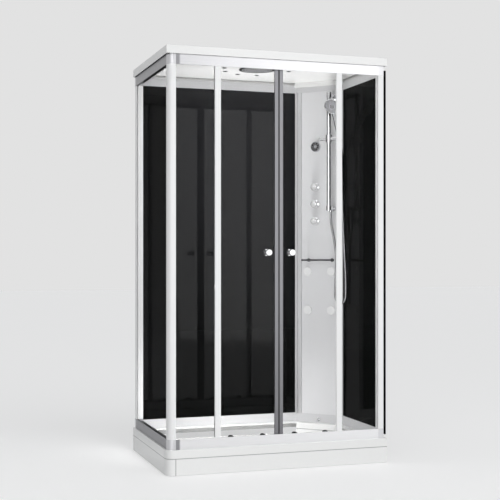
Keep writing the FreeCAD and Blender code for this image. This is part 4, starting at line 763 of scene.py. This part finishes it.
class CABIN_OT_handset(bpy.types.Operator):
    """Makes the hand shower: a plated shell, a grey spray face and its nozzles"""

    bl_idname = "cabin.handset"
    bl_label = "Hand shower"

    def execute(self, context):
        size = context.scene.cabin_handset
        pivot, up, look = handset_axes()
        middle = pivot + up * size.reach
        front = size.depth * 2 / 3
        plated = bpy.data.materials["chrome_plated_abs"]
        grip = self.handle(size, pivot, up, look)
        handle = shell("handset_handle", grip, plated, "handset")
        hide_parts("handset")
        head = turned(self.head(size, front), middle, look, 96)
        shell("handset_head", head, plated, "handset")

        radius = size.head - FACE_EDGE
        level = front - FACE_DEPTH
        grey = moulded_abs("grey_abs_spray_face", "9A9A9D", "ACACAF", (0.3, 0.4))
        face = turned(self.face(radius, level), middle, look, 96)
        shell("handset_face", face, grey, "handset")

        axis, side, other = square_to(look)
        rubber = moulded_abs("silicone_nozzles", "1E1E20", "2A2A2C", (0.5, 0.6))
        for name, (counts, pitch, nozzle) in NOZZLES.items():
            places = in_rings(counts, pitch)
            places = places[np.linalg.norm(places, axis=1) < radius - nozzle]
            spots = middle + places[:, :1] * side + places[:, 1:] * other + level * axis
            points = turned(nub(nozzle, NOZZLE_HEIGHT), spots, look, 10)
            shell(f"handset_nozzles_{name}", points, rubber, "handset")
        return {"FINISHED"}

    @staticmethod
    def head(size, front):
        """Outline of the plated head: the spray face's pocket, the round rim and the domed back."""
        radius = size.head
        pocket = [
            [0, front - POCKET_DEPTH],
            [radius - POCKET_EDGE, front - POCKET_DEPTH],
            [radius - POCKET_LIP, front - HEAD_ROUND / 2],
        ]
        turn = np.linspace(-math.pi / 2, math.pi / 2, 9)
        across = radius - HEAD_ROUND + HEAD_ROUND * np.cos(turn)
        rim = np.stack([across, front - HEAD_ROUND - HEAD_ROUND * np.sin(-turn)], axis=-1)
        turn = np.linspace(0, math.pi / 2, 12)
        across = radius * np.cos(turn) ** BACK_FULLNESS
        height = front - BACK_START - (size.depth - BACK_START) * np.sin(turn)
        return np.concatenate([pocket, rim[::-1], np.stack([across, height], axis=-1)])

    @staticmethod
    def face(radius, level):
        """Outline of the spray face: a thin plate with a bevelled edge and a groove."""
        across, deep = FACE_BEVEL
        outer, outer_foot, inner_foot, inner = FACE_GROOVE
        return [
            [0, level - FACE_THICKNESS],
            [radius, level - FACE_THICKNESS],
            [radius, level - deep],
            [radius - across, level],
            [outer, level],
            [outer_foot, level - GROOVE_DEPTH],
            [inner_foot, level - GROOVE_DEPTH],
            [inner, level],
            [0, level],
        ]

    @staticmethod
    def handle(size, pivot, up, look):
        """Ellipses stacked along the handle; their half widths follow a smooth curve through knots.

        Each knot is a place up the handle, a half width across, one deep and a shift to the front.
        """
        radius = size.handle
        neck = size.reach - size.head
        knots = np.array([
            [-0.0420, 0.0001, 0.0001, 0.0],
            [-0.0420, 0.0085, 0.0085, 0.0],
            [-0.0405, 0.0100, 0.0100, 0.0],
            [-0.0265, 0.0100, 0.0100, 0.0],
            [-0.0250, 0.0094, 0.0094, 0.0],
            [-0.0200, radius - 0.0015, radius - 0.0015, 0.0],
            [0.0200, radius, radius, 0.0],
            [0.0700, radius + 0.0010, radius + 0.0006, 0.0],
            [neck - 0.02, radius + 0.0028, radius + 0.0004, 0.0008],
            [neck + 0.006, radius + 0.0060, radius - 0.0012, 0.0024],
            [neck + 0.022, radius + 0.0050, radius - 0.0045, 0.0040],
            [neck + 0.040, radius - 0.0040, radius - 0.0085, 0.0050],
            [neck + 0.041, 0.0001, 0.0001, 0.0050],
        ])
        step = np.concatenate([[0], np.cumsum(np.linalg.norm(np.diff(knots, axis=0), axis=1))])
        fine = np.linspace(0, step[-1], 120)
        fine = np.unique(np.concatenate([fine, step]))
        height, across, deep, shift = (np.interp(fine, step, knots[:, k]) for k in range(4))
        side = np.cross(up, look)
        angle = np.linspace(0, 2 * math.pi, 40, endpoint=False)
        return (
            pivot
            + height[:, None, None] * up
            + (across[:, None] * np.cos(angle))[..., None] * side
            + (deep[:, None] * np.sin(angle) + shift[:, None])[..., None] * look
        )


class CABIN_OT_overhead(bpy.types.Operator):
    """Adds the nozzles to the overhead shower's dark face"""

    bl_idname = "cabin.overhead"
    bl_label = "Overhead shower"

    def execute(self, context):
        low, high = (np.array(corner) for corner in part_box("overhead_shower"))
        middle = (low + high) / 2
        radius = (high[0] - low[0]) / 2
        places = in_rings(OVERHEAD_RINGS, (radius - OVERHEAD_MARGIN) / len(OVERHEAD_RINGS))
        face = np.full(len(places), low[2] + OVERHEAD_FACE)
        spots = np.column_stack([middle[0] + places[:, 0], middle[1] + places[:, 1], face])
        rubber = moulded_abs("pale_silicone_nozzles", "C4C4C6", "D2D2D4", (0.45, 0.55))
        points = turned(nub(*OVERHEAD_NOZZLE), spots, -UP, 12)
        shell("overhead_nozzles", points, rubber, "cabin")
        return {"FINISHED"}


class CABIN_OT_display(bpy.types.Operator):
    """Sets the dark display into its rim and puts plain marks round the button"""

    bl_idname = "cabin.display"
    bl_label = "Display"

    def execute(self, context):
        low, high = (np.array(corner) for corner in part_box("control_panel"))
        button_low, button_high = (np.array(corner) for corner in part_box("control_button"))
        button = (button_low + button_high) / 2
        centre = np.array([*button[:2], (low[2] + high[2]) / 2])
        base = on_column((centre - COLUMN_START) @ ALONG, 0.0, centre[2])
        inner = (button_high[2] - button_low[2]) / 2 + DISPLAY_GAP
        outer = (high[2] - low[2]) / 2 - DISPLAY_EDGE
        level = self.front_of_rim() - DISPLAY_POCKET
        foot, shoulder, top = level + DISPLAY_FOOT, level + DISPLAY_SHOULDER, level + DISPLAY_TOP
        plate = [
            [inner, foot],
            [inner, shoulder],
            [inner + DISPLAY_BEVEL, top],
            [outer - DISPLAY_BEVEL, top],
            [outer, shoulder],
            [outer, foot],
            [inner, foot],
        ]
        # The display's glass takes the same painted reflection, a shade paler towards the top.
        glass = back_painted_glass("display_glass", "141416", "101012", gloss=0.5)
        marks = finish("printed_display_marks", ("A9A9AC", "B9B9BC"), (0.4, 0.5), 1 * MM)
        shell("display_face", turned(plate, base, -INWARD, 72), glass, "cabin")

        angle = np.arange(MARKS) * 2 * math.pi / MARKS
        ring = (inner + outer) / 2
        axis, side, other = square_to(-INWARD)
        spots = base + ring * (np.cos(angle)[:, None] * side + np.sin(angle)[:, None] * other)
        dot = [[0, MARK_FOOT], [MARK_RADIUS, MARK_FOOT], [MARK_RADIUS, MARK_TOP], [0, MARK_TOP]]
        points = turned(dot, spots + top * axis, -INWARD, 12)
        shell("display_marks", points, marks, "cabin")
        return {"FINISHED"}

    @staticmethod
    def front_of_rim():
        """How far the control panel's rim stands out from the column's frame line."""
        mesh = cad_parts["control_panel"].data
        points = np.empty(len(mesh.vertices) * 3)
        mesh.vertices.foreach_get("co", points)
        return float((-(points.reshape(-1, 3) - COLUMN_START) @ INWARD).max())


def softbox(name, place, aim, size, power, mirrored=True, spread=180):
    """A lamp of a width and a height that looks at a point; shiny faces show it if mirrored."""
    data = bpy.data.lights.new(name, "AREA")
    data.energy = power
    data.shape = "RECTANGLE"
    data.size, data.size_y = size
    data.spread = math.radians(spread)
    hang(name, data, place, aim, mirrored)


def hang(name, data, place, aim, mirrored):
    """Puts a lamp's data in the scene at a place, turned to a point."""
    light = bpy.data.objects.new(name, data)
    light.location = place
    light.rotation_euler = (Vector(aim) - Vector(place)).to_track_quat("-Z", "Y").to_euler()
    light.visible_camera = False
    light.visible_glossy = mirrored
    bpy.context.scene.collection.objects.link(light)


def sight(tree):
    """One for camera, glossy and transmission rays and nought for rays that light the object."""
    path = add(tree, "ShaderNodeLightPath").outputs
    direct = computed(tree, "MAXIMUM", path["Is Camera Ray"], path["Is Glossy Ray"])
    return computed(tree, "MAXIMUM", direct, path["Is Transmission Ray"])


def studio_floor():
    """Matt pale floor: its diffuse part keeps the shadows, and sight rays see it paler."""
    made, tree = started("matt_studio_floor")
    return surfaced(made, {
        "Base Color": linear("BCBCBC"),
        "Roughness": 0.8,
        "Specular IOR Level": 0.1,
        "Emission Color": linear("FFFFFF"),
        "Emission Strength": computed(tree, "MULTIPLY", sight(tree), 0.5),
    })


def lay_floor(scene, side):
    """The square floor that the cabin stands on."""
    half = side / 2
    mesh = bpy.data.meshes.new("floor")
    corners = [(-half, -half, 0), (half, -half, 0), (half, half, 0), (-half, half, 0)]
    mesh.from_pydata(corners, [], [(0, 1, 2, 3)])
    floor = bpy.data.objects.new("floor", mesh)
    mesh.materials.append(studio_floor())
    scene.collection.objects.link(floor)


def light_world(scene):
    """A grey world to light the cabin, which sight rays see nearly white."""
    world = bpy.data.worlds.new("studio")
    world.use_nodes = True
    tree = world.node_tree
    tree.nodes.clear()
    sky = colour_mix(tree, sight(tree), "9C9EA0", "E2E2E2")
    glow = add(tree, "ShaderNodeBackground", {"Color": sky, "Strength": 1.0})
    add(tree, "ShaderNodeOutputWorld", {"Surface": glow.outputs["Background"]})
    scene.world = world


def hang_lamps(size):
    """An even light and two softboxes outside the cabin, and three lamps in it."""
    sky = bpy.data.lights.new("sky", "SUN")
    sky.energy = size.sun
    sky.angle = math.radians(SKY_WIDTH)
    hang("sky", sky, SKY_PLACE, MIDDLE, False)
    softbox("right_box", *RIGHT_BOX, size.right_box)
    softbox("left_box", *LEFT_BOX, size.left_box)
    softbox("inside", *INSIDE_LAMP, size.inside, False, NARROW)
    softbox("tray_box", *TRAY_LAMP, size.tray, False, NARROW)
    softbox("strip", *STRIP_LAMP, size.strip, False)


def place_camera(scene):
    """A level camera where the photograph was taken from."""
    data = bpy.data.cameras.new("camera")
    data.lens = CAMERA_LENS_MM
    data.sensor_width = CAMERA_SENSOR_MM
    data.shift_x, data.shift_y = CAMERA_SHIFT
    data.clip_end = CAMERA_END
    camera = bpy.data.objects.new("camera", data)
    up = Vector((0, 0, 1))
    back = -CAMERA_HEADING.normalized()
    turn = Matrix((up.cross(back), up, back)).transposed()
    camera.matrix_world = Matrix.Translation(CAMERA_PLACE) @ turn.to_4x4()
    scene.collection.objects.link(camera)
    scene.camera = camera


class CABIN_OT_stage(bpy.types.Operator):
    """Sets the pale floor, the lamps, the world and the camera"""

    bl_idname = "cabin.stage"
    bl_label = "Stage"

    def execute(self, context):
        size = context.scene.cabin_stage
        lay_floor(context.scene, size.floor)
        light_world(context.scene)
        hang_lamps(size)
        place_camera(context.scene)
        context.scene.view_settings.view_transform = "Standard"
        return {"FINISHED"}


class CABIN_PT_panel(bpy.types.Panel):
    """Lists the cabin's steps and their sizes"""

    bl_label = "Shower cabin"
    bl_idname = "CABIN_PT_panel"
    bl_space_type = "VIEW_3D"
    bl_region_type = "UI"
    bl_category = "Cabin"

    def draw(self, context):
        for group in ("cabin_finishes", "cabin_hose", "cabin_handset", "cabin_stage"):
            settings = getattr(context.scene, group)
            box = self.layout.box()
            for name in settings.bl_rna.properties.keys():
                if name not in ("rna_type", "name"):
                    box.prop(settings, name)
        for step in STEPS:
            self.layout.operator(step.bl_idname)


GROUPS = {
    "cabin_finishes": CabinFinishes,
    "cabin_hose": CabinHose,
    "cabin_handset": CabinHandset,
    "cabin_stage": CabinStage,
}
STEPS = (
    CABIN_OT_finishes,
    CABIN_OT_hose,
    CABIN_OT_handset,
    CABIN_OT_overhead,
    CABIN_OT_display,
    CABIN_OT_stage,
)
CLASSES = (*GROUPS.values(), *STEPS, CABIN_PT_panel)


def register():
    for item in CLASSES:
        bpy.utils.register_class(item)
    for name, group in GROUPS.items():
        setattr(bpy.types.Scene, name, bpy.props.PointerProperty(type=group))


def unregister():
    for name in GROUPS:
        delattr(bpy.types.Scene, name)
    for item in reversed(CLASSES):
        bpy.utils.unregister_class(item)


def main():
    register()
    for step in STEPS:
        area, name = step.bl_idname.split(".")
        getattr(getattr(bpy.ops, area), name)()


if __name__ == "__main__":
    main()
